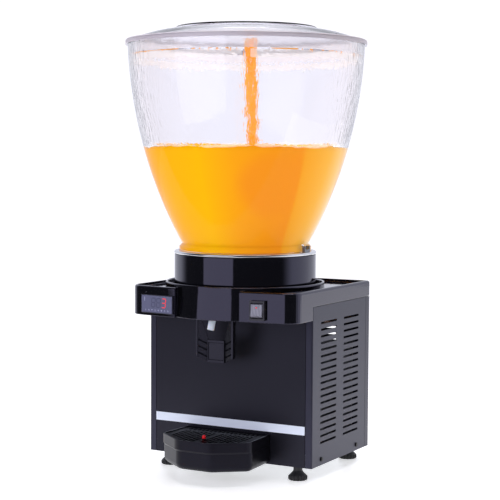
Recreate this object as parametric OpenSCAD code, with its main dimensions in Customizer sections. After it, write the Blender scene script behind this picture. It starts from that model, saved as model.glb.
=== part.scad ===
// Cold drink dispenser: a clear 20 litre bowl on a refrigerated cabinet, with a fountain pump,
// a push-back tap over a lift-off drip tray, a rocker switch and a digital temperature controller.
// Millimetres. The origin is on the floor under the bowl's axis, +Z is up and the front faces -Y.

/* [Cabinet] */
// Width of the cabinet over its side panels
cab_w = 288; // [276:1:300]
// Depth of the cabinet over its front and rear panels
cab_d = 208; // [202:1:226]
// Distance from the front panel back to the bowl's axis
axis_setback = 51; // [47:1:55]
// Height of the side panels
cab_h = 245; // [238:1:262]
// Thickness of the painted sheet panels
sheet = 1.2; // [0.8:0.1:1.6]
// Width of the side panels' return flange on the front
front_return = 11; // [8:0.5:14]
// Depth of the rear panel's wrap on the sides
rear_wrap = 13; // [10:0.5:18]
// Outer radius of the folded panel corners
bend_r = 2.5; // [2:0.1:4]
// Open line between neighbouring panels
seam = 0.8; // [0.4:0.1:1.2]
// Height that the front panel runs up behind the housing
front_rise = 15; // [10:0.5:17]
// Height of the folded rim of the base pan and of the top plate
pan_h = 16; // [13:0.5:18]
// Thickness of the base pan and the top plate
pan_t = 1.5; // [1:0.1:2]

/* [Vents] */
// Rows of vent slots in each column
slot_rows = 19; // [6:1:20]
// Spacing of the vent rows
slot_pitch = 10.2; // [8:0.1:10.6]
// Length of a vent slot
slot_len = 56; // [40:1:62]
// Height of a vent slot
slot_h = 3.5; // [2.5:0.1:5]
// Height of the lowest slot above the foot of the panel
slot_low = 35; // [28:1:42]
// Distance of the first column from the front of the cabinet
slot_front = 29; // [20:1:34]
// Gap between two columns of slots
slot_gap = 25.5; // [15:0.5:28]

/* [Accent stripe] */
// Height of the stripe's lower edge above the foot of the cabinet
stripe_low = 50.2; // [49:0.1:70]
// Height of the stripe
stripe_h = 13.2; // [8:0.1:20]
// Thickness of the stripe
stripe_t = 0.6; // [0.3:0.1:0.7]

/* [Feet] */
// Height of the levelling feet
foot_h = 21.5; // [20:0.5:28]
// Radius of a foot's pad
foot_r = 15; // [12:0.5:16]
// Radius of a foot's stem
foot_stem_r = 7; // [6:0.5:9]
// Height of a foot's pad
foot_pad_h = 7; // [5:0.5:9]
// Distance of the feet from the cabinet's sides
foot_side = 30; // [26:1:40]
// Distance of the front feet from the front of the cabinet
foot_front = 14; // [13:1:20]
// Distance of the rear feet from the back of the cabinet
foot_rear = 13; // [12:1:20]
// Finger scallops round a foot's pad
foot_scallops = 14; // [12:1:18]
// Radius of a foot's threaded stud
stud_r = 4; // [3:0.5:5]
// Length of the stud above the foot
stud_len = 14; // [10:1:20]

/* [Top housing] */
// Height of the housing above the side panels
housing_h = 25.5; // [22:0.5:32]
// Wall of the moulding
housing_wall = 3; // [2.4:0.1:3.6]
// Reach of the housing past the front panel on the centre line
overhang = 71.7; // [68:0.1:75]
// Radius of the bowed front, seen from above
front_bow = 750; // [500:10:1200]
// Drop of the front overhang below the top of the side panels
pod_drop = 20; // [15:0.5:22]
// Clear width between the two control pods
pod_gap = 112; // [106:1:116]
// Corner radius of the pods, seen from above
pod_corner_r = 24; // [14:1:30]
// Radius of the housing's upper edge
edge_r = 3.5; // [2:0.5:4]
// Width of the raised rim round the deck
rim_t = 4; // [3.8:0.1:7]
// Depth of the deck below the rim
deck_drop = 4.5; // [2:0.5:5]
// Thickness of the deck
deck_t = 3; // [2:0.5:4]
// Radius of the round bulge below the collar, at its top
bulge_r = 124.7; // [123:0.1:127]
// Extra radius of the bulge at its foot
bulge_flare = 3; // [1:0.5:5]
// Height of the bulge's lip above the rim
lip_h = 5; // [3:0.5:8]
// Thickness of the bulge's lip
lip_t = 3.5; // [2.5:0.1:5]
// Width of the tap bay under the bulge
bay_w = 92; // [88:1:98]
// Radius of the bosses that stand the housing on the top plate
boss_r = 6; // [4:0.5:8]

/* [Bowl seat] */
// Radius of the collar under the bowl
collar_r = 111; // [109:0.5:116]
// Height of the collar above the deck
collar_h = 52; // [48:1:60]
// Wall of the collar
collar_wall = 3; // [2:0.5:4]
// Width of the collar's seat on the deck
collar_seat = 6; // [5:0.5:8]
// Length of the collar's spigot in the deck
collar_spigot = 5.5; // [4:0.5:8]
// Height of the stainless ring
ring_h = 5.5; // [4.5:0.1:8]
// How far the stainless ring stands proud of the collar
ring_proud = 0.5; // [0:0.1:2]
// Width of the stainless ring's flat top and rounded edge
ring_w = 7.2; // [6.5:0.1:8]
// Depth of the bowl's seat inside the ring
seat_depth = 2; // [1:0.1:2.6]
// Thickness of the evaporator's deck plate
deck_plate_t = 1.5; // [1:0.1:1.8]
// Width of the bowl's gasket
gasket_w = 8; // [5:0.5:8.5]
// Gap between the collar and the insulation
foam_gap = 11; // [10.5:0.5:16]
// Radius of the hollow in the insulation
foam_bore_r = 57; // [54.6:0.1:57.5]
// Radius of the insulation's lower plug
plug_r = 80; // [70:1:90]

/* [Bowl] */
// Height of the bowl
bowl_h = 318.5; // [300:0.5:340]
// Radius of the bowl's foot
bowl_foot_r = 103.6; // [102.5:0.1:104]
// Height of the bowl's foot
bowl_foot_h = 7; // [6:0.5:8]
// Height of the neck over the foot
bowl_neck_h = 11; // [10:0.5:14]
// Outside radius of the neck
bowl_neck_r = 99.1; // [98:0.1:100.5]
// Outside radius of the bowl's rim
bowl_rim_r = 184.5; // [178:0.1:190]
// Radius of the curve from neck to rim
bowl_curve = 699; // [600:1:900]
// Wall of the bowl
bowl_wall = 3.5; // [3:0.1:4]
// Width of the bowl's locating lugs
lug_w = 8; // [6:0.5:10]
// Height of the lugs
lug_h = 7; // [5:0.5:8]
// Height of the lugs' underside over the bowl's foot
lug_low = 5; // [4:0.5:6]
// Reach of the lugs from the axis
lug_reach = 111; // [109:0.5:113]
// Length of a locating clip round the ring
clip_len = 18; // [16:0.5:28]
// Thickness of a locating clip
clip_t = 4.4; // [3:0.1:5]
// Height of a locating clip
clip_h = 10; // [7.5:0.1:10.5]

/* [Lid] */
// Reach of the lid's rim past the bowl's rim
lid_over = 3.3; // [2:0.1:6]
// Height of the lid's rim
lid_rim_h = 7.5; // [5:0.5:10]
// Depth of the lid's skirt inside the bowl
lid_skirt = 15.5; // [10:0.5:22]
// Height of the dome over the rim
lid_dome_h = 15; // [8:0.5:22]
// Radius of the raised plateau
lid_top_r = 110; // [90:1:130]
// Height of the plateau's step
lid_step = 5.5; // [3:0.5:10]
// Wall of the lid
lid_wall = 2.5; // [1.8:0.1:3]
// Nubs round the lid's rim
lid_nubs = 8; // [4:1:12]

/* [Evaporator and pump] */
// Radius of the evaporator drum
drum_r = 60; // [58.5:0.1:63]
// Height of the evaporator drum
drum_h = 97; // [90:1:110]
// Wall of the drum
drum_wall = 1.2; // [0.8:0.1:1.5]
// Turns of the evaporator coil
coil_turns = 5; // [3:1:5]
// Radius of the refrigerant tube
tube_r = 3; // [2.5:0.1:3.2]
// Radius of the coil at the middle of its tube
coil_r = 50; // [48:0.5:51]
// Radius of the shafts and of the impeller's pin
shaft_r = 3; // [2:0.1:4]
// Radius of the drive magnet and of the impeller
magnet_r = 22; // [18:0.5:24]
// Thickness of the drive magnet
magnet_t = 12; // [8:0.5:16]
// Gap between the drive magnet and the drum's top
magnet_gap = 2.5; // [1.5:0.1:4]
// Height of the impeller
impeller_h = 10; // [8:0.5:12]
// Vanes of the impeller
impeller_vanes = 6; // [4:1:8]
// Radius of the pump cover
cover_r = 29; // [28:0.5:36]
// Wall of the pump cover
cover_wall = 3; // [2:0.1:3.4]
// Radius of the fountain nozzle
nozzle_r = 9; // [7.5:0.1:12]
// Height of the fountain nozzle above the pump cover
nozzle_h = 40; // [25:1:46]
// Radius of the pump motor
motor_r = 26; // [20:0.5:29]
// Length of the pump motor
motor_h = 56; // [40:1:70]

/* [Tap] */
// Distance of the drain from the axis
drain_y = 82; // [81:0.5:85]
// Radius of the drain pipe
drain_r = 4; // [3.5:0.1:4.5]
// Radius of the silicone outlet tube
spout_r = 5.4; // [5.2:0.1:6]
// Lean of the outlet tube, forward of plumb
spout_lean = 20; // [17:0.1:21]
// Drop of the outlet tube's end below the pods
spout_drop = 16.5; // [12:0.5:30]
// Half width of the tap lever
lever_half = 32.5; // [31:0.5:36]
// Thickness of the lever's walls
lever_t = 3; // [2.2:0.1:3.4]
// Depth of the lever's side walls
lever_depth = 8; // [7:0.5:12]
// Distance of the lever's face from the bowl's axis
lever_y = 90; // [88:0.5:92]
// Half width of the lever's push pad
pad_half = 14.4; // [11:0.1:17]
// Height of the lever's push pad
pad_h = 34; // [26:1:40]
// Drop of the pad's lower edge below the pods
pad_drop = 68.5; // [62:0.5:80]
// How far the pad stands proud of the lever
pad_proud = 2; // [0.8:0.1:3]
// Height of the pivot above the pods' underside
pivot_up = 25.5; // [24:0.5:27]
// Distance of the pivot from the bowl's axis
pivot_y = 78; // [77:0.5:80]
// Radius of the lever's hubs
hub_r = 7; // [6:0.5:8]
// Wall of the tap bracket
bracket_t = 3; // [2:0.5:4]

/* [Drip tray] */
// Half width of the tray at its widest
tray_half = 77; // [74:0.5:82]
// Half width of the tray at its back
tray_rear = 72.5; // [70:0.5:74]
// Reach of the tray in front of the cabinet
tray_reach = 107.5; // [102:0.5:116]
// Half width of the tray's flat front
tray_front = 29; // [18:0.5:34]
// Depth of the chamfered front corners
tray_chamfer = 37.5; // [30:0.5:48]
// Height of the tray's rim above the floor
tray_top = 67.5; // [66:0.5:70]
// Height of the tray's underside above the floor
tray_low = 21.5; // [20:0.5:26]
// Height of the band round the tray's rim
tray_band = 14.5; // [8:0.5:16]
// Set-in of the tub's front below the band
tray_set_in = 2.4; // [0.5:0.1:3]
// Wall of the tray
tray_wall = 2.5; // [2:0.1:3]
// Radius of the tray's nose corners
tray_nose = 28; // [20:1:34]
// Radius of the tray's side corners
tray_corner = 14; // [6:0.5:16]
// Radius round the foot of the tub
tray_round = 10; // [4:0.5:12]
// Thickness of the drip grille
grille_t = 3.2; // [2:0.1:4]
// Spacing of the grille's slots
grille_pitch = 7.2; // [6:0.1:10]
// Width of the grille's slots
grille_slot = 3.4; // [2:0.1:4.5]
// Length of the grille's rear row of slots
grille_row = 10; // [6:0.5:16]
// Distance of the float indicator in front of the cabinet
float_out = 75; // [58:1:78]
// Radius of the indicator's red button
float_r = 3; // [2:0.1:4]

/* [Controls] */
// Distance of the switch from the inner side of its pod
switch_in = 19.5; // [12:0.25:24]
// Width of the switch's bezel
switch_w = 23.5; // [20:0.5:27]
// Height of the switch's bezel
switch_h = 29; // [26:0.5:32]
// How far the bezel stands proud
switch_proud = 7; // [3:0.5:9]
// Width of the rocker
rocker_w = 18.5; // [15:0.5:20]
// Height of the rocker
rocker_h = 22.5; // [18:0.5:24]
// Distance of the controller from the inner side of its pod
ctrl_in = 1; // [1:0.5:6]
// Width of the controller's bezel
ctrl_w = 61; // [58:0.5:65]
// Height of the controller's bezel
ctrl_h = 28; // [25:0.5:30]
// How far the controller stands proud
ctrl_proud = 3.5; // [2:0.5:6]
// Height of both controls above the pods' underside
control_up = 18.5; // [17:0.5:19.5]

/* [Refrigeration] */
// Radius of the compressor's shell
comp_r = 54; // [48:0.5:56]
// Height of the compressor's shell
comp_h = 136; // [110:1:150]
// Distance of the compressor to the left of the axis
comp_x = 66; // [64:0.5:70]
// Distance of the compressor behind the axis
comp_y = 66; // [62:0.5:72]
// Thickness of the condenser
cond_t = 40; // [36:1:44]
// Height of the condenser
cond_h = 160; // [150:1:172]
// Length of the condenser
cond_len = 144; // [136:1:150]
// Cooling fins of the condenser
cond_fins = 24; // [10:1:30]
// Rows of tube in the condenser
cond_rows = 6; // [4:2:6]
// Radius of the fan
fan_r = 60; // [50:0.5:64]
// Blades of the fan
fan_blades = 5; // [3:1:7]
// Pitch angle of the fan's blades
fan_pitch = 28; // [15:1:35]
// Radius of the fan's motor
fan_motor_r = 24; // [18:0.5:28]

/* [Fits] */
// Radial running clearance of pins and shafts
run_fit = 0.05; // [0.02:0.01:0.1]
// Clearance of pieces that drop or slide together
slide_fit = 0.4; // [0.3:0.05:0.6]
// Clearance of fixed pieces that nest in each other
nest = 0.2; // [0.1:0.05:0.4]
// Gap left under a piece that is lifted off its seat
seat_gap = 0.1; // [0.05:0.05:0.3]
// Radius of the panel screws' shanks
screw_r = 1.6; // [1.2:0.1:2]
// Radius of the panel screws' heads
screw_head_r = 3.6; // [3:0.1:4.5]
// Radius of the bore for a mains lead in the rear gland
gland_bore_r = 4; // [3:0.1:5]

/* [Hidden] */
$fn = 72;
// A cut runs this far past the face that it opens
past = 1;

// Levels and faces of the cabinet
front_y = -axis_setback;
rear_y = cab_d - axis_setback;
cab_low = foot_h;
cab_top = cab_low + cab_h;
inner_x = cab_w / 2 - sheet - nest;
inner_front = front_y + sheet + nest;
inner_rear = rear_y - sheet - nest;
pan_floor = cab_low + pan_t;
front_half = cab_w / 2 - front_return - seam;
side_len = cab_d - rear_wrap - seam;
rim_top = cab_top + housing_h;
deck_top = rim_top - deck_drop;
deck_low = deck_top - deck_t;
pod_low = cab_top - pod_drop;
lip_top = rim_top + lip_h;
bulge_foot_r = bulge_r + bulge_flare;

// The bowed front of the housing: an arc about a centre far behind it
bow_y = front_y - overhang + front_bow;
corner_x = cab_w / 2 - pod_corner_r;
corner_turn = asin(corner_x / (front_bow - pod_corner_r));
corner_y = bow_y - (front_bow - pod_corner_r) * cos(corner_turn);

// Levels of the bowl's seat
collar_top = deck_top + collar_h;
ring_top = collar_top + ring_h;
ring_r = collar_r + ring_proud;
ring_in = ring_r - ring_w;
seat_z = ring_top - seat_depth;
deck_hole_r = collar_r - collar_seat;
spigot_r = deck_hole_r - slide_fit - nest;
foam_r = collar_r - foam_gap;
bowl_low = ring_top + seat_gap;
neck_z = bowl_low + bowl_neck_h;
bowl_top = bowl_low + bowl_h;
drum_bore_r = drum_r - drum_wall;
drum_top = seat_z + drum_h;

// The bowl's wall is one arc from the neck to the rim
chord = [bowl_rim_r - bowl_neck_r, bowl_top - neck_z];
arc_mid = [bowl_rim_r + bowl_neck_r, bowl_top + neck_z] / 2;
arc_c = arc_mid + [-chord[1], chord[0]] / norm(chord) * sqrt(pow(bowl_curve, 2) - pow(norm(chord) / 2, 2));
function bowl_r(z) = arc_c[0] + sqrt(pow(bowl_curve, 2) - pow(z - arc_c[1], 2));

// Lid
lid_r = bowl_rim_r + lid_over;
lid_low = bowl_top + seat_gap;
lid_rim_top = lid_low + lid_rim_h;
lid_skirt_r = bowl_r(bowl_top - lid_skirt) - bowl_wall - slide_fit;
lid_dome_top = lid_rim_top + lid_dome_h;
lid_top = lid_dome_top + lid_step;

// Pump
pin_h = impeller_h + 4;
impeller_low = drum_top + 1;
cover_in_top = impeller_low + impeller_h + 2;
cover_top = cover_in_top + cover_wall;
magnet_top = drum_top - drum_wall - magnet_gap;
plate_low = cab_top - pan_t;
motor_flange_t = 3;
motor_top = plate_low;
coil_low = seat_z + 8;
coil_pitch = 14;
coil_tail_turn = 150;

// Tap
drain_bend = [0, -drain_y, deck_top + 12];
lean = [0, -sin(spout_lean), -cos(spout_lean)];
spout_len = (drain_bend[2] - (pod_low - spout_drop)) / cos(spout_lean);
spout_start = 6;
pivot_z = pod_low + pivot_up;
pad_low = pod_low - pad_drop;
pad_top = pad_low + pad_h;
wing_rise = 8;
wing_sweep = 20;
groove_slope = 24;
notch_half = 27;
pinch_z = pod_low + 10;
pinch_h = 6;
spout_y_pinch = -drain_y - (drain_bend[2] - pinch_z) * tan(spout_lean);
spout_reach = spout_r / cos(spout_lean) + pinch_h / 2 * tan(spout_lean);
bay_half = bay_w / 2;
cheek_in = lever_half + slide_fit;
cheek_out = cheek_in + bracket_t;
anvil_t = 4;

// Tray
tray_back = front_y - 1.2;
tray_y = front_y - tray_reach;
ledge_z = tray_top - grille_t - 1.3;
hook_half = 40;
hook_t = 1.6;
tray_notch = 5.5;
rest_lip = 1.2;
float_y = front_y - float_out;
float_disc_r = 12;

// Controls
switch_x = pod_gap / 2 + switch_in + switch_w / 2;
ctrl_x = pod_gap / 2 + ctrl_in + ctrl_w / 2;
ctrl_step = [7, 2];
control_z = pod_low + control_up;
rocker_pivot = 4;

// Condenser and fan stand behind the right-hand vents
cond_x = inner_x - 4 - cond_t;
cond_y = front_y + 20;
cond_z = pan_floor + 16;
cond_pitch_z = cond_h / cond_rows;
cond_end_t = 1.5;
shroud_x = cond_x - 6;
fan_x = shroud_x - 20;
fan_y = cond_y + cond_len / 2;
fan_z = cond_z + cond_h / 2;
fan_motor_x = fan_x - 42;
fan_motor_len = 30;

function unit(v) = v / norm(v);

// Points of a rounded corner at b, between a and c
function corner(a, b, c, r, n = 6) =
    let (u = unit(a - b), v = unit(c - b), half = acos(u * v) / 2)
    let (m = b + unit(u + v) * r / sin(half))
    let (s = b + u * r / tan(half) - m, e = b + v * r / tan(half) - m)
    let (a0 = atan2(s[1], s[0]), turn = atan2(s[0] * e[1] - s[1] * e[0], s * e))
    [for (i = [0 : n]) m + r * [cos(a0 + turn * i / n), sin(a0 + turn * i / n)]];

// One unbroken tube swept along a path
function heading(p, i) = unit(p[min(i + 1, len(p) - 1)] - p[max(i - 1, 0)]);
function square_to(n, t) = unit(n - (n * t) * t);
function carried(p, n, i = 0) =
    i == len(p) ? [] :
    let (m = square_to(n, heading(p, i))) concat([m], carried(p, m, i + 1));
module swept_tube(path, r, first, sides = 6) {
    n = carried(path, first);
    rings = len(path);
    pts = [
        for (i = [0 : rings - 1], k = [0 : sides - 1])
        let (t = heading(path, i), b = cross(t, n[i]), a = 360 * k / sides)
        path[i] + r * (cos(a) * n[i] + sin(a) * b)
    ];
    wall = [
        for (i = [0 : rings - 2], k = [0 : sides - 1])
        let (j = (k + 1) % sides, a = i * sides, b = a + sides)
        each [[a + k, b + k, b + j], [a + k, b + j, a + j]]
    ];
    last = (rings - 1) * sides;
    caps = [for (k = [1 : sides - 2]) each [[0, k, k + 1], [last, last + k + 1, last + k]]];
    polyhedron(pts, concat(wall, caps));
}

// A rigid line of round tube with a brazed ball elbow at each bend
elbow_proud = 0.4;
module pipe_run(points, r) {
    for (i = [0 : len(points) - 2]) {
        d = points[i + 1] - points[i];
        translate(points[i])
            rotate([0, acos(d[2] / norm(d)), atan2(d[1], d[0])])
            cylinder(r = r, h = norm(d));
    }
    for (i = [1 : len(points) - 2]) translate(points[i]) sphere(r = r + elbow_proud);
}

// Slot with round ends, lying along its first axis
module slot2d(l, h) {
    square([l - h, h], center = true);
    for (s = [-1, 1]) translate([s * (l - h) / 2, 0]) circle(d = h);
}

module both_sides() {
    children();
    mirror([1, 0, 0]) children();
}

module foot_places() {
    for (x = [-1, 1] * (cab_w / 2 - foot_side), y = [front_y + foot_front, rear_y - foot_rear])
        translate([x, y, 0]) children();
}

// Screws: two at the foot of each side panel, three on each edge of the rear panel
side_screw_y = [front_y + 33.7, rear_y - 46.6];
side_screw_z = cab_low + 9.2;
rear_screw_x = [-1, 0, 1] * (cab_w / 2 - 22);
rear_screw_z = [cab_low + 9.2, cab_top - 9.2];
module screw_places() {
    both_sides()
        for (y = side_screw_y)
            translate([cab_w / 2, y, side_screw_z]) rotate([0, 90, 0]) children();
    for (x = rear_screw_x, z = rear_screw_z)
        translate([x, rear_y, z]) rotate([-90, 0, 0]) children();
}
module screw_holes() {
    screw_places() translate([0, 0, -12]) cylinder(r = screw_r + run_fit, h = 24);
}

// Its front corners are cut to clear the bends of the side panels
module pan_plan(t) {
    x = inner_x - t;
    cut = bend_r / 3;
    y = inner_front + t;
    back = inner_rear - t;
    polygon([[-x, back], [-x, y + cut], [cut - x, y], [x - cut, y], [x, y + cut], [x, back]]);
}
module folded_pan() {
    difference() {
        linear_extrude(pan_h) pan_plan(0);
        translate([0, 0, pan_t]) linear_extrude(pan_h) pan_plan(pan_t);
    }
}

// Folded steel pan that carries the machine
module base_pan() {
    color("silver")
    difference() {
        translate([0, 0, cab_low]) folded_pan();
        foot_places() cylinder(r = stud_r + slide_fit, h = cab_low + pan_h);
        screw_holes();
        // Air slots in the floor
        for (i = [-2 : 2])
            translate([i * slot_pitch * 2 - comp_x, fan_y, cab_low - past])
                linear_extrude(pan_t + 2 * past) rotate(90) slot2d(slot_len, slot_h);
    }
}

// Flat painted front sheet, run up behind the housing
module front_panel() {
    color("#2b2933")
    translate([-front_half, front_y, cab_low])
        cube([2 * front_half, sheet, cab_h + front_rise]);
}

module accent_stripe() {
    color("#ccd4e6")
    translate([-front_half + nest, front_y - stripe_t, cab_low + stripe_low])
        cube([2 * (front_half - nest), stripe_t, stripe_h]);
}

module vent_columns() {
    for (c = [0, 1], r = [0 : slot_rows - 1])
        translate([
            front_y + slot_front + slot_len / 2 + c * (slot_len + slot_gap),
            cab_low + slot_low + r * slot_pitch
        ])
            slot2d(slot_len, slot_h);
}

// Right-hand side sheet: folded round the front corner, punched with two columns of slots
module side_sheet() {
    difference() {
        union() {
            translate([cab_w / 2 - sheet, front_y + bend_r, cab_low])
                cube([sheet, side_len - bend_r, cab_h]);
            translate([cab_w / 2 - front_return, front_y, cab_low])
                cube([front_return - bend_r, sheet, cab_h]);
            translate([cab_w / 2 - bend_r, front_y + bend_r, cab_low])
                linear_extrude(cab_h)
                difference() {
                    intersection() {
                        circle(r = bend_r);
                        translate([0, -bend_r]) square(bend_r);
                    }
                    circle(r = bend_r - sheet);
                }
        }
        translate([cab_w / 2 - sheet - past, 0, 0])
            rotate([90, 0, 90]) linear_extrude(sheet + 2 * past) vent_columns();
        screw_holes();
    }
}
module right_side_panel() {
    color("#5d5c6a") side_sheet();
}
module left_side_panel() {
    color("#5d5c6a") mirror([1, 0, 0]) side_sheet();
}

// Rear sheet, wrapped on to the sides, with vents and the mains lead's gland
gland_x = -cab_w / 2 + 44;
gland_z = cab_low + 38;
gland_body_r = gland_bore_r + 4;
module rear_panel() {
    color("#3a3943")
    difference() {
        union() {
            translate([-cab_w / 2, rear_y - sheet, cab_low]) cube([cab_w, sheet, cab_h]);
            both_sides()
                translate([cab_w / 2 - sheet, rear_y - rear_wrap, cab_low])
                cube([sheet, rear_wrap, cab_h]);
        }
        for (c = [-1, 0, 1], r = [0 : slot_rows - 8])
            translate([c * (slot_len + slot_gap / 2), rear_y + past, cab_top - 24 - r * slot_pitch])
                rotate([90, 0, 0]) linear_extrude(sheet + 2 * past) slot2d(slot_len, slot_h);
        translate([gland_x, rear_y + past, gland_z])
            rotate([90, 0, 0]) cylinder(r = gland_body_r + run_fit, h = sheet + 2 * past);
        screw_holes();
    }
}

// Bush that takes a mains lead through the rear panel
module cord_gland() {
    color("#17161b")
    translate([gland_x, rear_y, gland_z]) rotate([-90, 0, 0])
    difference() {
        union() {
            cylinder(r = gland_body_r + 3, h = 3);
            translate([0, 0, -sheet - 6]) cylinder(r = gland_body_r, h = sheet + 6);
            translate([0, 0, -sheet - 5 - nest]) cylinder(r = gland_body_r + 3, h = 5, $fn = 6);
        }
        translate([0, 0, -sheet - 6 - past]) cylinder(r = gland_bore_r, h = sheet + 9 + 2 * past);
    }
}

// Steel plate that closes the cabinet and carries the bowl's seat
pipe_hole = [coil_r * cos(coil_tail_turn), coil_r * sin(coil_tail_turn)];
tail_in = coil_r - 4 * tube_r;
tail_hole = tail_in * [cos(coil_tail_turn), sin(coil_tail_turn)];
module top_plate() {
    color("silver")
    difference() {
        translate([0, 0, cab_top]) mirror([0, 0, 1]) folded_pan();
        translate([0, 0, plate_low - past]) cylinder(r = shaft_r + 3, h = pan_t + 2 * past);
        for (p = [pipe_hole, tail_hole])
            translate([p[0], p[1], plate_low - past])
                cylinder(r = tube_r + 1, h = pan_t + 2 * past);
        screw_holes();
    }
}

// Plan of the housing, drawn in by t from its outside: bowed front, round front corners, square rear
bow_steps = 20;
turn_steps = 8;
function housing_corner(t) = [
    for (i = [0 : turn_steps])
    let (a = (corner_turn - 90) * (1 - i / turn_steps))
    [corner_x, corner_y] + (pod_corner_r - t) * [cos(a), sin(a)]
];
function housing_points(t) = concat(
    [
        for (i = [-bow_steps + 1 : 2 : bow_steps - 1])
        let (a = corner_turn * i / bow_steps)
        [0, bow_y] + (front_bow - t) * [sin(a), -cos(a)]
    ],
    housing_corner(t),
    [[cab_w / 2 - t, rear_y - t], [t - cab_w / 2, rear_y - t]],
    [for (i = [turn_steps : -1 : 0]) let (q = housing_corner(t)[i]) [-q[0], q[1]]]
);
module housing_plan(t) {
    polygon(housing_points(t));
}

// The block that the housing is cut from, with a rolled upper edge.
// It runs below the pods, and one level cut trims every piece to the same underside.
block_low = pod_low - 10;
edge_steps = 4;
skin = 0.01;
module housing_block() {
    hull() {
        translate([0, 0, block_low]) linear_extrude(skin) housing_plan(0);
        for (i = [0 : edge_steps]) {
            a = 90 * i / edge_steps;
            translate([0, 0, rim_top - edge_r + edge_r * sin(a) - skin])
                linear_extrude(skin) housing_plan(edge_r * (1 - cos(a)));
        }
    }
}

module bulge(t, top_z) {
    rotate_extrude()
        polygon([
            [0, pod_low - past], [bulge_foot_r - t, pod_low - past], [bulge_foot_r - t, pod_low],
            [bulge_r - t, top_z], [0, top_z]
        ]);
}

// The round bulge, cut level at its foot, with a rolled lip
module bulge_skin() {
    lip_round = lip_t / 2;
    rotate_extrude() {
        polygon([
            [0, block_low], [bulge_foot_r, block_low], [bulge_foot_r, pod_low], [bulge_r, deck_low],
            [bulge_r, lip_top - lip_round], [0, lip_top - lip_round]
        ]);
        translate([bulge_r - lip_round, lip_top - lip_round]) circle(r = lip_round);
    }
}

boss_x = cab_w / 2 - 26;
boss_y = [front_y + 26, rear_y - 22];

// Moulded housing: two control pods, the bulge over the tap bay and a recessed deck
module top_housing() {
    color("#17161b")
    difference() {
        union() {
            difference() {
                housing_block();
                translate([-pod_gap / 2, front_y - 2 * overhang, 0])
                    cube([pod_gap, 2 * overhang - 12, lip_top + past]);
                // Deck recess, with the rim kept at the pods' inner ends
                translate([0, 0, deck_top]) linear_extrude(2 * housing_h)
                    difference() {
                        housing_plan(rim_t);
                        translate([-pod_gap / 2 - rim_t, front_y - 2 * overhang])
                            square([pod_gap + 2 * rim_t, 2 * overhang - 40]);
                    }
            }
            bulge_skin();
        }
        // Level underside of the pods, stepped up to clear the cabinet
        translate([-cab_w, -2 * cab_d, 0]) cube([2 * cab_w, 4 * cab_d, pod_low]);
        translate([-cab_w, front_y - nest, 0])
            cube([2 * cab_w, 2 * cab_d, cab_top + seam]);
        // Gutter inside the lip
        translate([0, 0, deck_top]) cylinder(r = bulge_r - lip_t, h = 2 * housing_h);
        translate([0, 0, deck_top - collar_spigot - nest])
            cylinder(r = deck_hole_r, h = collar_spigot + nest + past);
        // Hollow over the cabinet
        difference() {
            translate([0, front_y - nest - past, cab_low])
                linear_extrude(deck_low - cab_low)
                intersection() {
                    translate([0, -front_y + nest + past]) housing_plan(housing_wall);
                    translate([-cab_w, 0]) square([2 * cab_w, 2 * cab_d]);
                }
            both_sides()
                for (y = boss_y)
                    translate([boss_x, y, 0]) cylinder(r = boss_r, h = deck_top);
        }
        // Hollow pods
        translate([0, 0, pod_low + housing_wall])
            linear_extrude(deck_low - pod_low - housing_wall)
            intersection() {
                housing_plan(housing_wall);
                both_sides()
                    translate([pod_gap / 2 + housing_wall, -2 * cab_d])
                    square([cab_w, 2 * cab_d + front_y]);
            }
        // Tap bay, open below
        intersection() {
            bulge(housing_wall, deck_low);
            translate([-bay_half, -2 * cab_d, 0]) cube([bay_w, 2 * cab_d + front_y, deck_low]);
        }
        // Openings for the switch and the controller, and the pilot hole above the controller
        on_front(switch_x) translate([0, 0, control_z])
            cube([rocker_w + 3 + 2 * nest, 6 * housing_wall, rocker_h + 3 + 2 * nest], center = true);
        on_front(-ctrl_x) translate([0, 0, control_z])
            cube([
                ctrl_w - 2 * ctrl_step[0] + 2 * nest, 6 * housing_wall, ctrl_h - 2 * ctrl_step[1] + 2 * nest
            ], center = true);
        on_front(-ctrl_x) translate([-ctrl_w / 2 + 6, 0, control_z + ctrl_h / 2 + 3])
            rotate([90, 0, 0]) cylinder(r = 0.9, h = 6 * housing_wall, center = true);
    }
}

// Places children on the bowed front, with their -Y along its outward normal
module on_front(x) {
    translate([0, bow_y, 0])
        rotate([0, 0, asin(x / front_bow)])
        translate([0, -front_bow, 0]) children();
}

// Gloss collar that rises from the deck to the bowl's seat
module collar() {
    color("#131217")
    rotate_extrude()
        polygon([
            [spigot_r - collar_wall, deck_top - collar_spigot],
            [spigot_r, deck_top - collar_spigot],
            [spigot_r, deck_top],
            [collar_r, deck_top],
            [collar_r, collar_top],
            [collar_r - collar_wall, collar_top],
            [collar_r - collar_wall, deck_top + collar_wall],
            [spigot_r - collar_wall, deck_top + collar_wall]
        ]);
}

// Foam under the evaporator's deck, with a plug that stands on the top plate
module insulation() {
    color("#e8dfb8")
    difference() {
        union() {
            translate([0, 0, deck_top + nest])
                cylinder(r = foam_r, h = seat_z - deck_plate_t - deck_top - nest);
            intersection() {
                translate([0, 0, cab_top]) cylinder(r = plug_r, h = deck_top + past - cab_top);
                translate([-cab_w, inner_front, 0]) cube([2 * cab_w, cab_d, lip_top]);
            }
        }
        translate([0, 0, cab_top - past]) cylinder(r = foam_bore_r, h = cab_h);
        translate([0, -drain_y, deck_top - past]) cylinder(r = spout_r + 4, h = cab_h);
    }
}

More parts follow.
